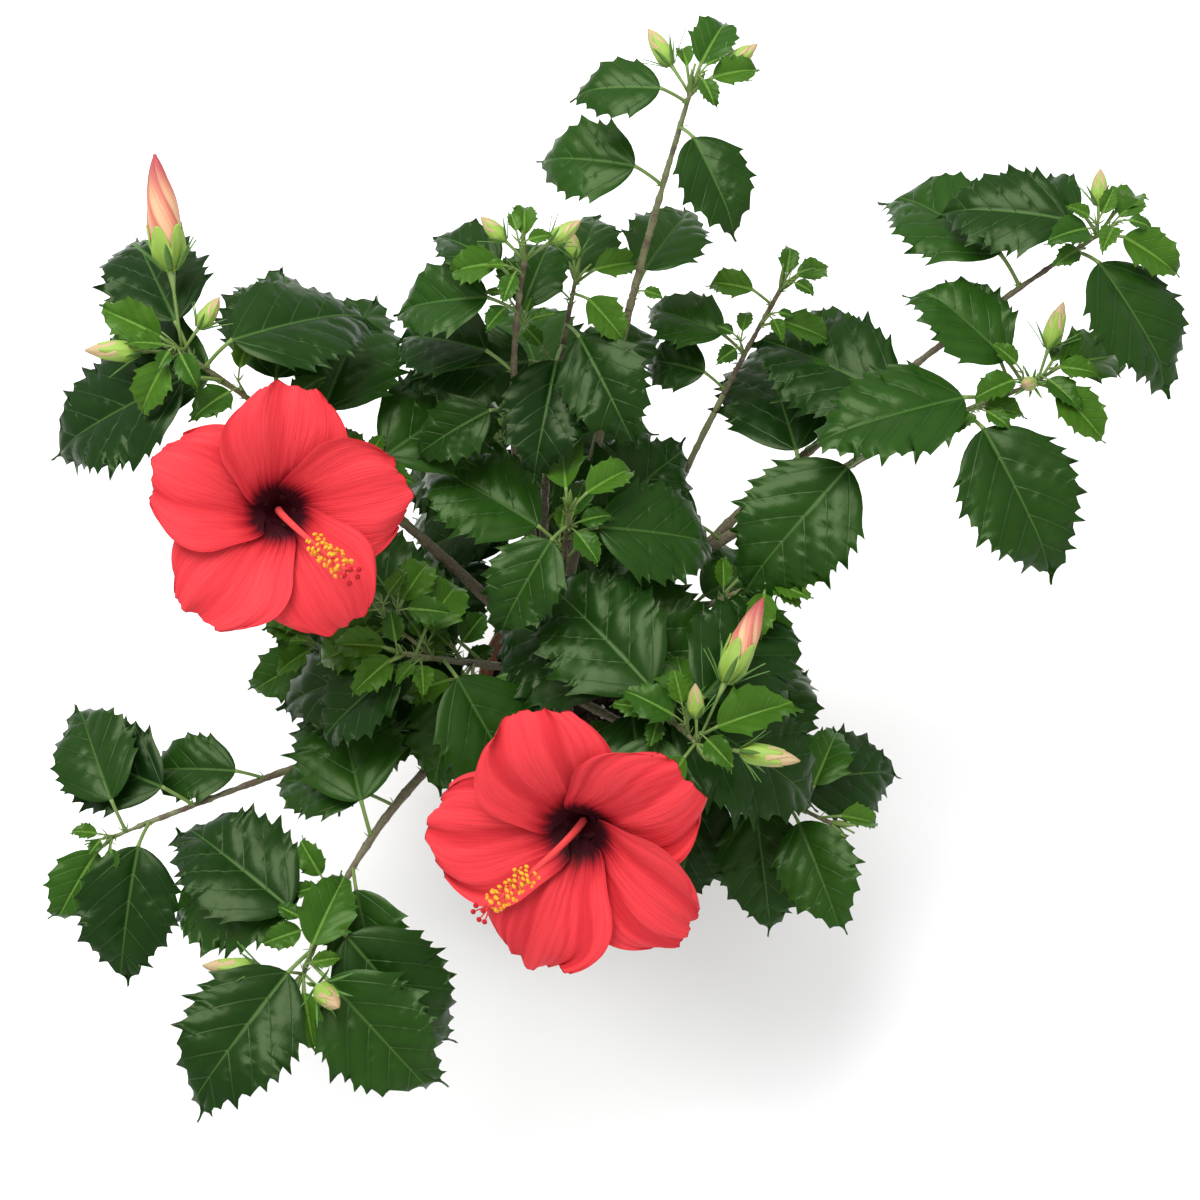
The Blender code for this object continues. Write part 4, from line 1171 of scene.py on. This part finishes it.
for number, bloom in enumerate(BLOOMS):
    flower = Flower(bloom)
    ends, bodies = bloom_bodies(bloom, flower, lines)
    grown.add(bloom.name, *bodies)
    petal_skin = Skin()
    for count in range(PETALS):
        dress_petal(petal_skin, flower, count, CREASES[bloom.name], 100 + number * 10 + count)
    radii, heights = np.array(THROAT).T[..., None]
    inner = turned_grid(flower.back, flower.axis, radii, heights, turns_of(40))
    outer = turned_grid(flower.back, flower.axis, radii + 0.0003, heights - 0.0002, turns_of(40))
    petal_skin.tube(np.concatenate([outer, inner[::-1]]), petal=(0, 0, 0), sunk=(0, 0, 0))
    petal_skin.piece(f"petals_{bloom.parent}", petal_finish, "petals", bloom.name)
    column_skin = Skin()
    dress_column(column_skin, flower, 200 + number)
    column_skin.piece(f"column_{bloom.parent}", column_finish, "petals", bloom.name)
    calyx_of(
        calyx_skin, flower.back - flower.axis * 0.002, flower.axis, girth=0.0072, length=0.023,
        full=0.6, opening=(1.0, 6), cleft=0.5, spread=0.55, seed=300 + number,
    )
    stalks.append((ends, [0.0016, 0.0014, 0.0013, 0.0018]))
calyx_skin.piece("calyces", calyx_finish, "leaves", *(bloom.name for bloom in BLOOMS))


# The leaves: glossy, toothed blades on slender stalks, set along the stems and crowded at their
# tips. Each has a midrib set down into the blade, side veins that run to its teeth with painted
# shade along their grooves, and a paler underside.

BLADE_HALF_WIDTH = 0.33
BLADE_THICKNESS = 0.014
BLADE_FOLD = math.radians(16)
BLADE_CUP = 0.22
STALK_SHORTEST = 0.010
STALK_SHARE = 0.13
MIDRIB_STATIONS = (0.25, 0.55, 0.82)
SMALL_LEAF = 0.042
SMALL_OUTLINE = ((0.12, 1.00), (0.46, 1.06), (0.51, 0.88), (0.78, 1.12), (0.84, 0.72))
OUTLINE = (
    (0.12, 1.00), (0.36, 1.06), (0.40, 0.88), (0.58, 1.08), (0.62, 0.84), (0.79, 1.14),
    (0.83, 0.70),
)
SPREAD = 7  # seeded spread of a leaf's heading, pitch and roll
STALK_RISE = 38
BLADE_PITCH = -7  # the blade's slope where it leaves its stalk
BLADE_BEND = 28  # how much further it slopes at its tip
# What a leaf tries when it meets something, as heading and slope
TURNS = (
    (0, 0), (0, 12), (0, -12), (10, 20), (-10, 20), (12, -16), (-12, -16),
    (26, 6), (-26, 6), (44, 0), (-44, 0),
)
SIZES = (1, 0.88, 0.74)  # and the sizes that it tries in each turn
CLEARANCE = 0.0005  # metres, kept free above and below a blade
TEST_WIDTH = 1.05  # and how much wider the blade is made for that trial
TWIG_CROWDING = 1.5  # side twigs grow on stems whose leaves stand evenly along them
TWIG_EVERY = 4  # with every fourth leaf
TWIG_LENGTH = 0.034
TWIG_RISE = 52
TWIG_LEAF = 0.46  # its leaves, as a share of the branch's largest
# Each leaf of a side twig: its share along the twig, and its turn from the twig's own leaf
TWIG_LEAVES = ((0.55, 70), (0.80, -60), (0.97, 10))
LEAF_COLUMNS = (0.0, 0.07, 0.24, 0.44, 0.62, 0.80, 0.93, 1.0)
SMALL_LEAF_COLUMNS = (0.0, 0.10, 0.36, 0.64, 0.87, 1.0)
# The rise of a tooth along its own stretch of margin: it leans forward to its point, then drops
TOOTH = ((0.0, 0.0), (0.36, 0.30), (0.68, 1.0), (0.82, 0.40))
TEETH_START = 0.165
TEETH_END = 0.905
TOOTH_PITCH = 0.0088
TOOTH_HEIGHT = 0.084
TOOTH_LEAN = 0.038
PUFF_HEIGHT = 0.030  # between the side veins, as a share of the length like the next
WAVE_HEIGHT = 0.022
SHEET_THICKNESS = 0.00024
MIDRIB_THICKNESS = 0.00065
MIDRIB_HALF_WIDTH = 0.0011
YOUNG_FOLD = math.radians(22)  # how much more the newest leaf is folded
SIDE_VEINS = 5.5
VEIN_SLANT = 0.95
VEIN_CURVE = 0.6
SHOOT_SHARE = (0.25, 0.60)  # of the leaf axils that carry a shoot, at a stem's foot and tip
SHOOT_LENGTH = (0.006, 0.014)
SHOOT_RISE = (50, 75)
SHOOT_LEAVES = ((0.55, 60, 0.27), (0.85, -70, 0.22), (1.0, 10, 0.16))  # share, turn and size
LEAF_SHINE = 0.19
LEAF_DARK = (0.003, 0.017, 0.002)
LEAF_MATURE = (0.016, 0.056, 0.005)
LEAF_FRESH = (0.017, 0.062, 0.005)
LEAF_YOUNG = (0.043, 0.112, 0.008)
LEAF_UNDER = (0.050, 0.095, 0.028)
LEAF_UNDER_YOUNG = (0.080, 0.170, 0.030)
VEIN_OLD = (0.045, 0.105, 0.020)
VEIN_YOUNG = (0.110, 0.220, 0.032)
YOUNG_AGE = 0.4  # leaves above this age are fresh green

Leaf = namedtuple("Leaf", "node base heading pitch roll length")


def half_width(along):
    """The smooth outline's half width along the blade, both as shares of the blade's length."""
    return BLADE_HALF_WIDTH * np.sin(math.pi * along**0.72) ** 0.85


def blade_frame(leaf, along):
    """The midrib's points at these shares, the way across the blade and the way up out of it."""
    forward, up, base = (np.array(v) for v in (direction(leaf.heading), UP, leaf.base))
    start, bend, roll = (math.radians(angle) for angle in (leaf.pitch, BLADE_BEND, leaf.roll))
    slope = (start - bend * along)[..., None]
    run = (math.sin(start) - np.sin(slope)) / bend
    lift = (np.cos(slope) - math.cos(start)) / bend
    tangent = forward * np.cos(slope) + up * np.sin(slope)
    level = np.cross(up, forward)
    across = level * math.cos(roll) + np.cross(tangent, level) * math.sin(roll)
    return base + (forward * run + up * lift) * leaf.length, across, np.cross(tangent, across)


def blade_points(leaf, along, side):
    """Points of the blade's middle surface: side is 0 on the midrib, -1 and 1 on the margins."""
    midrib, across, up = blade_frame(leaf, along)
    half = half_width(along) * leaf.length
    level = side * half * math.cos(BLADE_FOLD)
    rise = abs(side) * half * math.sin(BLADE_FOLD) - side * side * half * BLADE_CUP
    return midrib + across * level[:, None] + up * rise[:, None]


def leaf_body(leaf, thickness, width=1.0, start=0.0):
    """Stalk and blade as one plain solid. start is the share of the stalk left out at the stem."""
    _, (across,), (up,) = blade_frame(leaf, np.zeros(1))
    corners = np.array((-across, up, across, -up)) * STALK_RADIUS
    ends = np.array([[leaf.node.lerp(leaf.base, start)], [leaf.base]])
    points = [*(ends + corners).reshape(-1, 3), *blade_points(leaf, np.ones(1), np.zeros(1))]
    quads, foot, _ = tube_faces(2, 4)
    faces = [*quads.tolist(), *foot.tolist()]
    tip = len(points) - 1

    def chain(corner, shares, line):
        """The line from a corner of the stalk's end to the blade's tip, as (share, point)."""
        first = len(points)
        points.extend(line)
        return [(0, 4 + corner), *zip(shares, range(first, len(points))), (1, tip)]

    shares, widths = np.array(OUTLINE if leaf.length > SMALL_LEAF else SMALL_OUTLINE).T
    margins = [
        chain(corner, shares, blade_points(leaf, shares, side * widths * width))
        for corner, side in ((0, -1), (2, 1))
    ]
    midrib, _, normal = blade_frame(leaf, np.array(MIDRIB_STATIONS))
    for corner, offset in ((1, thickness / 2), (3, -thickness / 2)):
        rib = chain(corner, MIDRIB_STATIONS, midrib + normal * offset)
        for margin in margins:
            faces += zipped(margin, rib)
    return BVHTree.FromPolygons([point.tolist() for point in points], faces)


def zipped(one, other):
    """Triangles between two chains of (share, point) that end together."""
    faces = []
    i = j = 0
    while i < len(one) - 1 or j < len(other) - 1:
        a, b = one[i][1], other[j][1]
        if j == len(other) - 1 or (i < len(one) - 1 and one[i + 1][0] <= other[j + 1][0]):
            i += 1
            c = one[i][1]
        else:
            j += 1
            c = other[j][1]
        if len({a, b, c}) == 3:
            faces.append((a, b, c))
    return faces


def make_leaf(node, heading, length, draw, turn=(0, 0)):
    """A leaf on its stalk. draw holds the seeded shares of its spread, from -1 to 1."""
    heading = heading + draw[0] * SPREAD + turn[0]
    pitch = BLADE_PITCH + draw[1] * SPREAD + turn[1]
    base = node + direction(heading, STALK_RISE) * (STALK_SHORTEST + STALK_SHARE * length)
    return Leaf(node, base, heading, pitch, draw[2] * SPREAD * 2, length)


def size_from_tip(number, young):
    """A leaf's size by how many leaves lie between it and the stem's tip."""
    return 1 - 0.66 * math.exp(-((number / young) ** 2))


def set_leaf(owner, node, heading, length, draw, grown):
    """The leaf in the first turn in which it touches nothing, or None."""
    for turn in TURNS:
        for size in SIZES:
            leaf = make_leaf(node, heading, length * size, draw, turn)
            thick = length * size * BLADE_THICKNESS
            if not grown.free(leaf_body(leaf, thick, 1.0, 0.5), owner):
                continue
            if grown.free(leaf_body(leaf, thick + 2 * CLEARANCE, TEST_WIDTH), owner, own=False):
                grown.add(owner, leaf_body(leaf, thick, 1.0, 0.4))
                return leaf
    return None


def leaves_of(branch, line, seed, grown):
    """The leaves and side twigs of a branch's mass."""
    owner = f"foliage_{branch.name}"
    seeded = random.Random(seed)
    leaves, twigs = [], []
    count = len(branch.headings)
    for index, heading in enumerate(branch.headings):
        share = 1 - (1 - index / count) ** branch.crowding
        node = line.at(branch.bare + (1 - branch.bare) * (0.03 + 0.965 * share))
        draw = [seeded.uniform(-1, 1) for _ in range(3)]
        length = branch.leaf * size_from_tip(count - 1 - index, branch.young)
        leaves.append(set_leaf(owner, node, heading, length, draw, grown))
        if branch.crowding < TWIG_CROWDING and index % TWIG_EVERY == 2:
            twigs.extend(side_twig(owner, branch.leaf, node, heading, seeded, grown, leaves))
    return [leaf for leaf in leaves if leaf], twigs


def side_twig(owner, largest, node, heading, seeded, grown, leaves):
    """A short twig in a leaf's axil, with three small leaves, where there is room for it."""
    out = direction(heading + seeded.uniform(15, 40), TWIG_RISE)
    length = TWIG_LENGTH * seeded.uniform(0.8, 1.2)
    draws = [[seeded.uniform(-1, 1) for _ in range(3)] for _ in TWIG_LEAVES]
    end = node + out * (length + 0.002)
    near, far = (
        tube([foot, end], [TIP_RADIUS * 1.6] * 2, TWIG_SIDES) for foot in (node + out * 0.006, node)
    )
    if not grown.free(near, owner) or not grown.free(far, owner, own=False):
        return []
    grown.add(owner, near)
    for number, (share, turn) in enumerate(TWIG_LEAVES):
        size = largest * TWIG_LEAF * (1 - 0.2 * number)
        foot = node + out * length * share
        leaves.append(set_leaf(owner, foot, heading + turn, size, draws[number], grown))
    return [(node, node + out * length)]


def fine_shoot(branch, leaf, seeded, grown):
    """A green shoot in a leaf's axil, and the new leaves on it that have room."""
    owner = f"foliage_{branch.name}"
    way = direction(leaf.heading + seeded.uniform(-40, 40), seeded.uniform(*SHOOT_RISE))
    end = leaf.node + way * seeded.uniform(*SHOOT_LENGTH)
    fresh = []
    for share, turn, size in SHOOT_LEAVES:
        size = branch.leaf * size * seeded.uniform(0.8, 1.2)
        node = leaf.node.lerp(end, share)
        heading = leaf.heading + turn + seeded.uniform(-15, 15)
        base = node + direction(heading, STALK_RISE) * (0.003 + 0.2 * size)
        pitch = seeded.uniform(0, 30)
        tried = Leaf(node, base, heading, pitch, seeded.uniform(-15, 15), size)
        body = leaf_body(tried, size * BLADE_THICKNESS, 1.0, 0.5)
        if grown.free(body, None, own=False):
            grown.add(owner, body)
            fresh.append(tried)
    return (leaf.node, end), fresh


def tooth_rows(length, seeded):
    """Shares along the blade, with the height and the number of the tooth at each."""
    teeth = int(np.clip(round(length / TOOTH_PITCH), 5, 11))
    ends = TEETH_START + (TEETH_END - TEETH_START) * np.linspace(0, 1, teeth + 1) ** 0.9
    ends[1:-1] += seeded.uniform(-0.26, 0.26, teeth - 1) / teeth
    shape = np.array(TOOTH)
    shares = ends[:-1, None] + np.diff(ends)[:, None] * shape[:, 0]
    plain = np.array((0.0, 0.012, 0.035, 0.075, 0.12))
    drip = np.linspace(ends[-1] + 0.010, 1, 5)
    shares = np.concatenate([plain, shares.ravel(), drip])
    heights = np.concatenate([plain * 0, np.tile(shape[:, 1], teeth), drip * 0])
    numbers = np.concatenate([plain * 0, np.repeat(np.arange(teeth), len(TOOTH)), drip * 0])
    return shares, heights, numbers.astype(int)


def dress_leaf(skin, leaf, age, seed):
    """The toothed and veined blade, as a thin closed sheet. age is 0 full grown and 1 newest."""
    seeded = np.random.default_rng(seed)
    length = leaf.length
    shares, heights, numbers = tooth_rows(length, seeded)
    columns = np.array(LEAF_COLUMNS if length > SMALL_LEAF else SMALL_LEAF_COLUMNS)
    u, s = np.meshgrid(shares, np.concatenate([columns[:0:-1], -columns]), indexing="ij")
    t = np.abs(s)
    sizes = seeded.uniform(0.7, 1.3, (2, 12)) * np.where(np.arange(12) % 2, 0.55, 1.0)
    left, right = sizes[:, numbers, None]
    tooth = heights[:, None] * np.where(s > 0, left, right)
    tooth = tooth * smooth(t, 0.60, 1.0) * smooth(u, 0.08, 0.32) * (1 - 0.4 * smooth(u, 0.80, 1.0))
    u = u + tooth * TOOTH_LEAN

    # Across the blade: the smooth outline narrows to a drawn-out tip, and the teeth stand out of it
    inside = np.clip(u, 0.0, 0.995)
    half = half_width(inside) * (1 - 0.34 * smooth(inside, 0.62, 0.88)) + 0.004
    narrow = smooth(u, 0.84, 0.95)
    half = half * (1 - narrow) + narrow * (0.0015 + 0.16 * (1 - inside))
    off = t * half
    fold = BLADE_FOLD + YOUNG_FOLD * age + math.radians(seeded.uniform(-4, 6))
    cup = BLADE_CUP + seeded.uniform(-0.04, 0.05) - 0.12 * age
    across = (off + tooth * TOOTH_HEIGHT) * np.sign(s)

    # Out of the blade: folded up from the midrib, puffed between side veins, waved at the margin
    rise = off * math.sin(fold) - t * off * cup
    phase = (u - VEIN_SLANT * off - VEIN_CURVE * off**2) * SIDE_VEINS
    puff = np.abs(np.sin(math.pi * phase)) ** 0.40 - 0.7
    rise += PUFF_HEIGHT * puff * smooth(t, 0.02, 0.30) * (1 - 0.50 * t) * smooth(u, 0.0, 0.15)
    waves = seeded.uniform(1.6, 2.8) * u + seeded.uniform(0, 1) + 0.3 * (s > 0)
    rise += WAVE_HEIGHT * (1 + age) * np.sin(2 * math.pi * waves) * t**2 * smooth(u, 0.05, 0.4)
    rise -= 0.012 * tooth + 0.006 * np.exp(-((off / 0.012) ** 2)) * smooth(u, 0.0, 0.1)
    tail = smooth(u, 0.62, 1.0) ** 1.5
    rise -= seeded.uniform(0.02, 0.14) * tail
    across = across * math.cos(fold) + seeded.uniform(-0.08, 0.08) * tail
    across = across + seeded.uniform(-0.05, 0.05) * smooth(u, 0.86, 1.0) ** 1.5

    midrib, sideways, up = blade_frame(leaf, u)
    grid = midrib + (sideways * across[..., None] + up * rise[..., None]) * length
    normal = np.cross(np.gradient(grid, axis=1), np.gradient(grid, axis=0))
    normal /= np.linalg.norm(normal, axis=-1)[..., None] + 1e-12
    rib = np.exp(-((off * length / MIDRIB_HALF_WIDTH) ** 2)) * (1.0 - 0.75 * u)
    thick = (SHEET_THICKNESS + MIDRIB_THICKNESS * rib) * np.clip((1 - t) * 6, 0, 1)
    thick = thick * min(1, 0.4 + length / 0.06)
    place_on_blade = np.stack([u, across, u * 0 + length], axis=-1)
    if age < YOUNG_AGE:
        tone = seeded.uniform(0, 1) * 0.8 + age
    else:
        tone = (age - YOUNG_AGE) / (1 - YOUNG_AGE)
    looks = [np.broadcast_to((tone, 0, under), grid.shape) for under in (0.0, 1.0)]
    lower = grid - normal * thick[..., None]
    sheet(skin, grid, lower, blade=(place_on_blade, place_on_blade), look=looks)


def leaf_look(name, dark, light, beneath, vein_green, gloss):
    """A leaf's finish. The look at each point holds the leaf's tone and which side it is on."""
    finish = Finish(name, Specular_IOR_Level=LEAF_SHINE, Specular_Tint=(0.78, 1.0, 0.55, 1))
    u, w, size = finish.parts_of("blade")
    tone, _, under = finish.parts_of("look")
    off = abs(w)
    phase = (u - off * VEIN_SLANT - off * off * VEIN_CURVE) * SIDE_VEINS
    near_vein = abs(phase.fraction() - 0.5) * 2
    side_vein = near_vein.step(0.90, 1.0) * (1 - off * 2.4).clamped()
    midrib = (off * size / (1.15 - u)).step(0.0010, 0.0003)
    vein = (side_vein * 0.55 + midrib).clamped()
    blotch = finish.noise(45.0)
    grain = finish.noise(700.0, 4.0)
    blade = (tone * 0.8 + blotch * 0.4).step(0.1, 0.95).mixed(dark, light)
    # Painted shade: the upper side darkens towards each side vein, as in the grooves along the
    # veins
    upper = ((near_vein - 0.4) * 0.5).clamped().mixed(blade, dark)
    upper = (vein * 0.8).mixed(upper, vein_green)
    lower = (vein * 0.7).mixed((blotch * 0.3).mixed(beneath, light), vein_green)
    finish.paint(
        Base_Color=under.mixed(upper, lower),
        Roughness=blotch * 0.05 + under * 0.25 + vein * 0.1 + grain * 0.05 + gloss,
    )
    ladder = finish.vector(phase * 1.6, off * size * 290, tone * 50 + w.step(-0.001, 0.001) * 9)
    ripple = finish.noise(1.0, 1.0, where=ladder)
    finish.relief(grain * 0.15 + ripple * 0.2 - side_vein * 0.6, 0.00026)
    return finish


def side_of(branch):
    """The half of the shrub that a branch reaches into."""
    return "right" if math.cos(math.radians(branch.tip[0])) > 0 else "left"


mature_finish = leaf_look("mature_leaf", LEAF_DARK, LEAF_MATURE, LEAF_UNDER, VEIN_OLD, 0.25)
young_finish = leaf_look("young_leaf", LEAF_FRESH, LEAF_YOUNG, LEAF_UNDER_YOUNG, VEIN_YOUNG, 0.28)

leaves = {}
twigs = {}
for branch in sorted(BRANCHES, key=lambda branch: -branch.leaf):  # the largest leaves come first
    seed = BRANCHES.index(branch)
    leaves[branch.name], twigs[branch.name] = leaves_of(branch, lines[branch.name], seed, grown)

shoots = {}  # the ends of each branch's fine shoots, with the leaves on each
young_skins = {"left": Skin(), "right": Skin()}
for number, branch in enumerate(BRANCHES):
    seeded = random.Random(500 + number)
    grown_leaves = leaves[branch.name]
    young_skin = young_skins[side_of(branch)]
    found = []
    for count, leaf in enumerate(grown_leaves):
        if seeded.random() < between(SHOOT_SHARE, count / len(grown_leaves)):
            found.append(fine_shoot(branch, leaf, seeded, grown))
    shoots[branch.name] = [(ends, fresh_leaves) for ends, fresh_leaves in found if fresh_leaves]
    new_leaves = [leaf for _, fresh_leaves in found for leaf in fresh_leaves]
    leaf_skin = Skin()
    for count, leaf in enumerate(grown_leaves):
        age = float(smooth(1 - min(leaf.length / branch.leaf, 1.0), 0.15, 0.75))
        kind = young_skin if age >= YOUNG_AGE else leaf_skin
        dress_leaf(kind, leaf, age, 1000 + number * 50 + count)
    for count, leaf in enumerate(new_leaves):
        age = between((YOUNG_AGE, 1.0), seeded.random() ** 1.6)
        dress_leaf(young_skin, leaf, age, 3000 + number * 80 + count)
    leaf_skin.piece(f"leaves_{branch.name}", mature_finish, "leaves", f"foliage_{branch.name}")
for side, skin in young_skins.items():
    masses = (f"foliage_{branch.name}" for branch in BRANCHES if side_of(branch) == side)
    skin.piece(f"young_leaves_{side}", young_finish, "leaves", *masses)


# The leafy stems and stalks: each stem runs on from its bough, green towards the tip, with a
# slight swelling and a pair of stipules at every leaf.

STEM_LOOK_SIDES = 12
TWIG_RADII = (0.0012, 0.0010, 0.0009, 0.0007)  # from its foot to its tip, as the next
SHOOT_RADII = (0.0008, 0.0006, 0.0005)
SHOOT_STALK_RADIUS = 0.00045
# How fresh each kind is: below 1 is still barky, and 1.6 is the newest green
TWIG_FRESHNESS = 0.9
STALK_FRESHNESS = 1.3
FLOWER_STALK_FRESHNESS = 1.35
STIPULE_FRESHNESS = 1.4
SHOOT_FRESHNESS = 1.5
TIP_FRESHNESS = 1.6
STALK_RADIUS_LEAST = 0.00062
STALK_RADIUS_SHARE = 0.0045  # of its leaf's length
STIPULE_LENGTH = 0.0055
STIPULE_WIDTH = 0.0008
TIP_BLADES = 3  # folded new leaves at a stem's very tip
TIP_BLADE_LENGTH = 0.014
TIP_BLADE_WIDTH = 0.0035
NEW_STEM = (0.135, 0.235, 0.045)


def stalk(skin, leaf, girth, freshness):
    """A leaf's stalk, thicker at both its ends, with a pair of fine stipules at its foot."""
    shares = np.linspace(0, 1, 9)
    arch = UP * leaf.length * 0.08
    centres = [leaf.node.lerp(leaf.base, s * 1.02) + arch * (s * (1 - s)) for s in shares]
    ends = 0.5 * np.exp(-((shares / 0.1) ** 2)) + 0.25 * np.exp(-(((1 - shares) / 0.1) ** 2))
    strand(skin, centres, girth * (1 + ends), 8, stem=(freshness, leaf.heading % 7 / 7, 0))
    droop = direction(leaf.heading, -20)
    for turn in (-55, 55):
        way = direction(leaf.heading + turn, 50)
        blade_strip(
            skin, leaf.node, way, droop, STIPULE_LENGTH, STIPULE_WIDTH, 0.2, 5,
            stem=(STIPULE_FRESHNESS, 0.5, 0),
        )


stem_skin = Skin()
for number, branch in enumerate(BRANCHES):
    line = lines[branch.name]
    bark_sleeve(stem_skin, line, (branch.bare, 1.0), STEM_LOOK_SIDES, 0.0, 60 + number)
    for foot, end in twigs[branch.name]:
        bend = foot.lerp(end, 0.4) + UP * 0.0008
        centres = [foot, bend, foot.lerp(end, 0.75), end]
        strand(stem_skin, centres, TWIG_RADII, 8, stem=(TWIG_FRESHNESS, 0.5, 0))
    for leaf in leaves[branch.name]:
        girth = STALK_RADIUS_LEAST + STALK_RADIUS_SHARE * leaf.length
        stalk(stem_skin, leaf, girth, STALK_FRESHNESS)
    for (foot, end), fresh_leaves in shoots[branch.name]:
        centres = [foot, foot.lerp(end, 0.5), end]
        strand(stem_skin, centres, SHOOT_RADII, 6, stem=(SHOOT_FRESHNESS, 0.5, 0))
        for leaf in fresh_leaves:
            stalk(stem_skin, leaf, SHOOT_STALK_RADIUS, SHOOT_FRESHNESS)
    for turn in range(0, 360, 360 // TIP_BLADES):
        way = line.along(1) + direction(turn + number * 40) * 0.35
        blade_strip(
            stem_skin, line.at(0.995), way, direction(turn), TIP_BLADE_LENGTH, TIP_BLADE_WIDTH, 0.1,
            stem=(TIP_FRESHNESS, 0, 0),
        )
for centres, radii in stalks:
    strand(stem_skin, centres, radii, 8, stem=(FLOWER_STALK_FRESHNESS, 0.4, 0))

stem_finish = Finish("stem", Roughness=0.55, Specular_IOR_Level=0.4)
aged, tone, _ = stem_finish.parts_of("stem")
patches = stem_finish.noise(110.0)
lined = stem_finish.grain(1400, 300)
woody = lined.step(0.3, 0.7).mixed(YOUNG_BARK_SHADE, YOUNG_BARK)
green = (patches + tone * 0.2).step(0.45, 0.75).mixed(GREEN_STEM, RED_STEM)
fresh = (aged.step(1.1, 1.3) * 0.8).mixed(green, NEW_STEM)
greening = (aged + patches * 0.4).step(0.75, 1.15)
stem_finish.paint(Base_Color=greening.mixed(woody, fresh))
stem_finish.relief(lined, 0.0002)
stem_skin.piece("stems", stem_finish, "leaves", *(f"foliage_{branch.name}" for branch in BRANCHES))
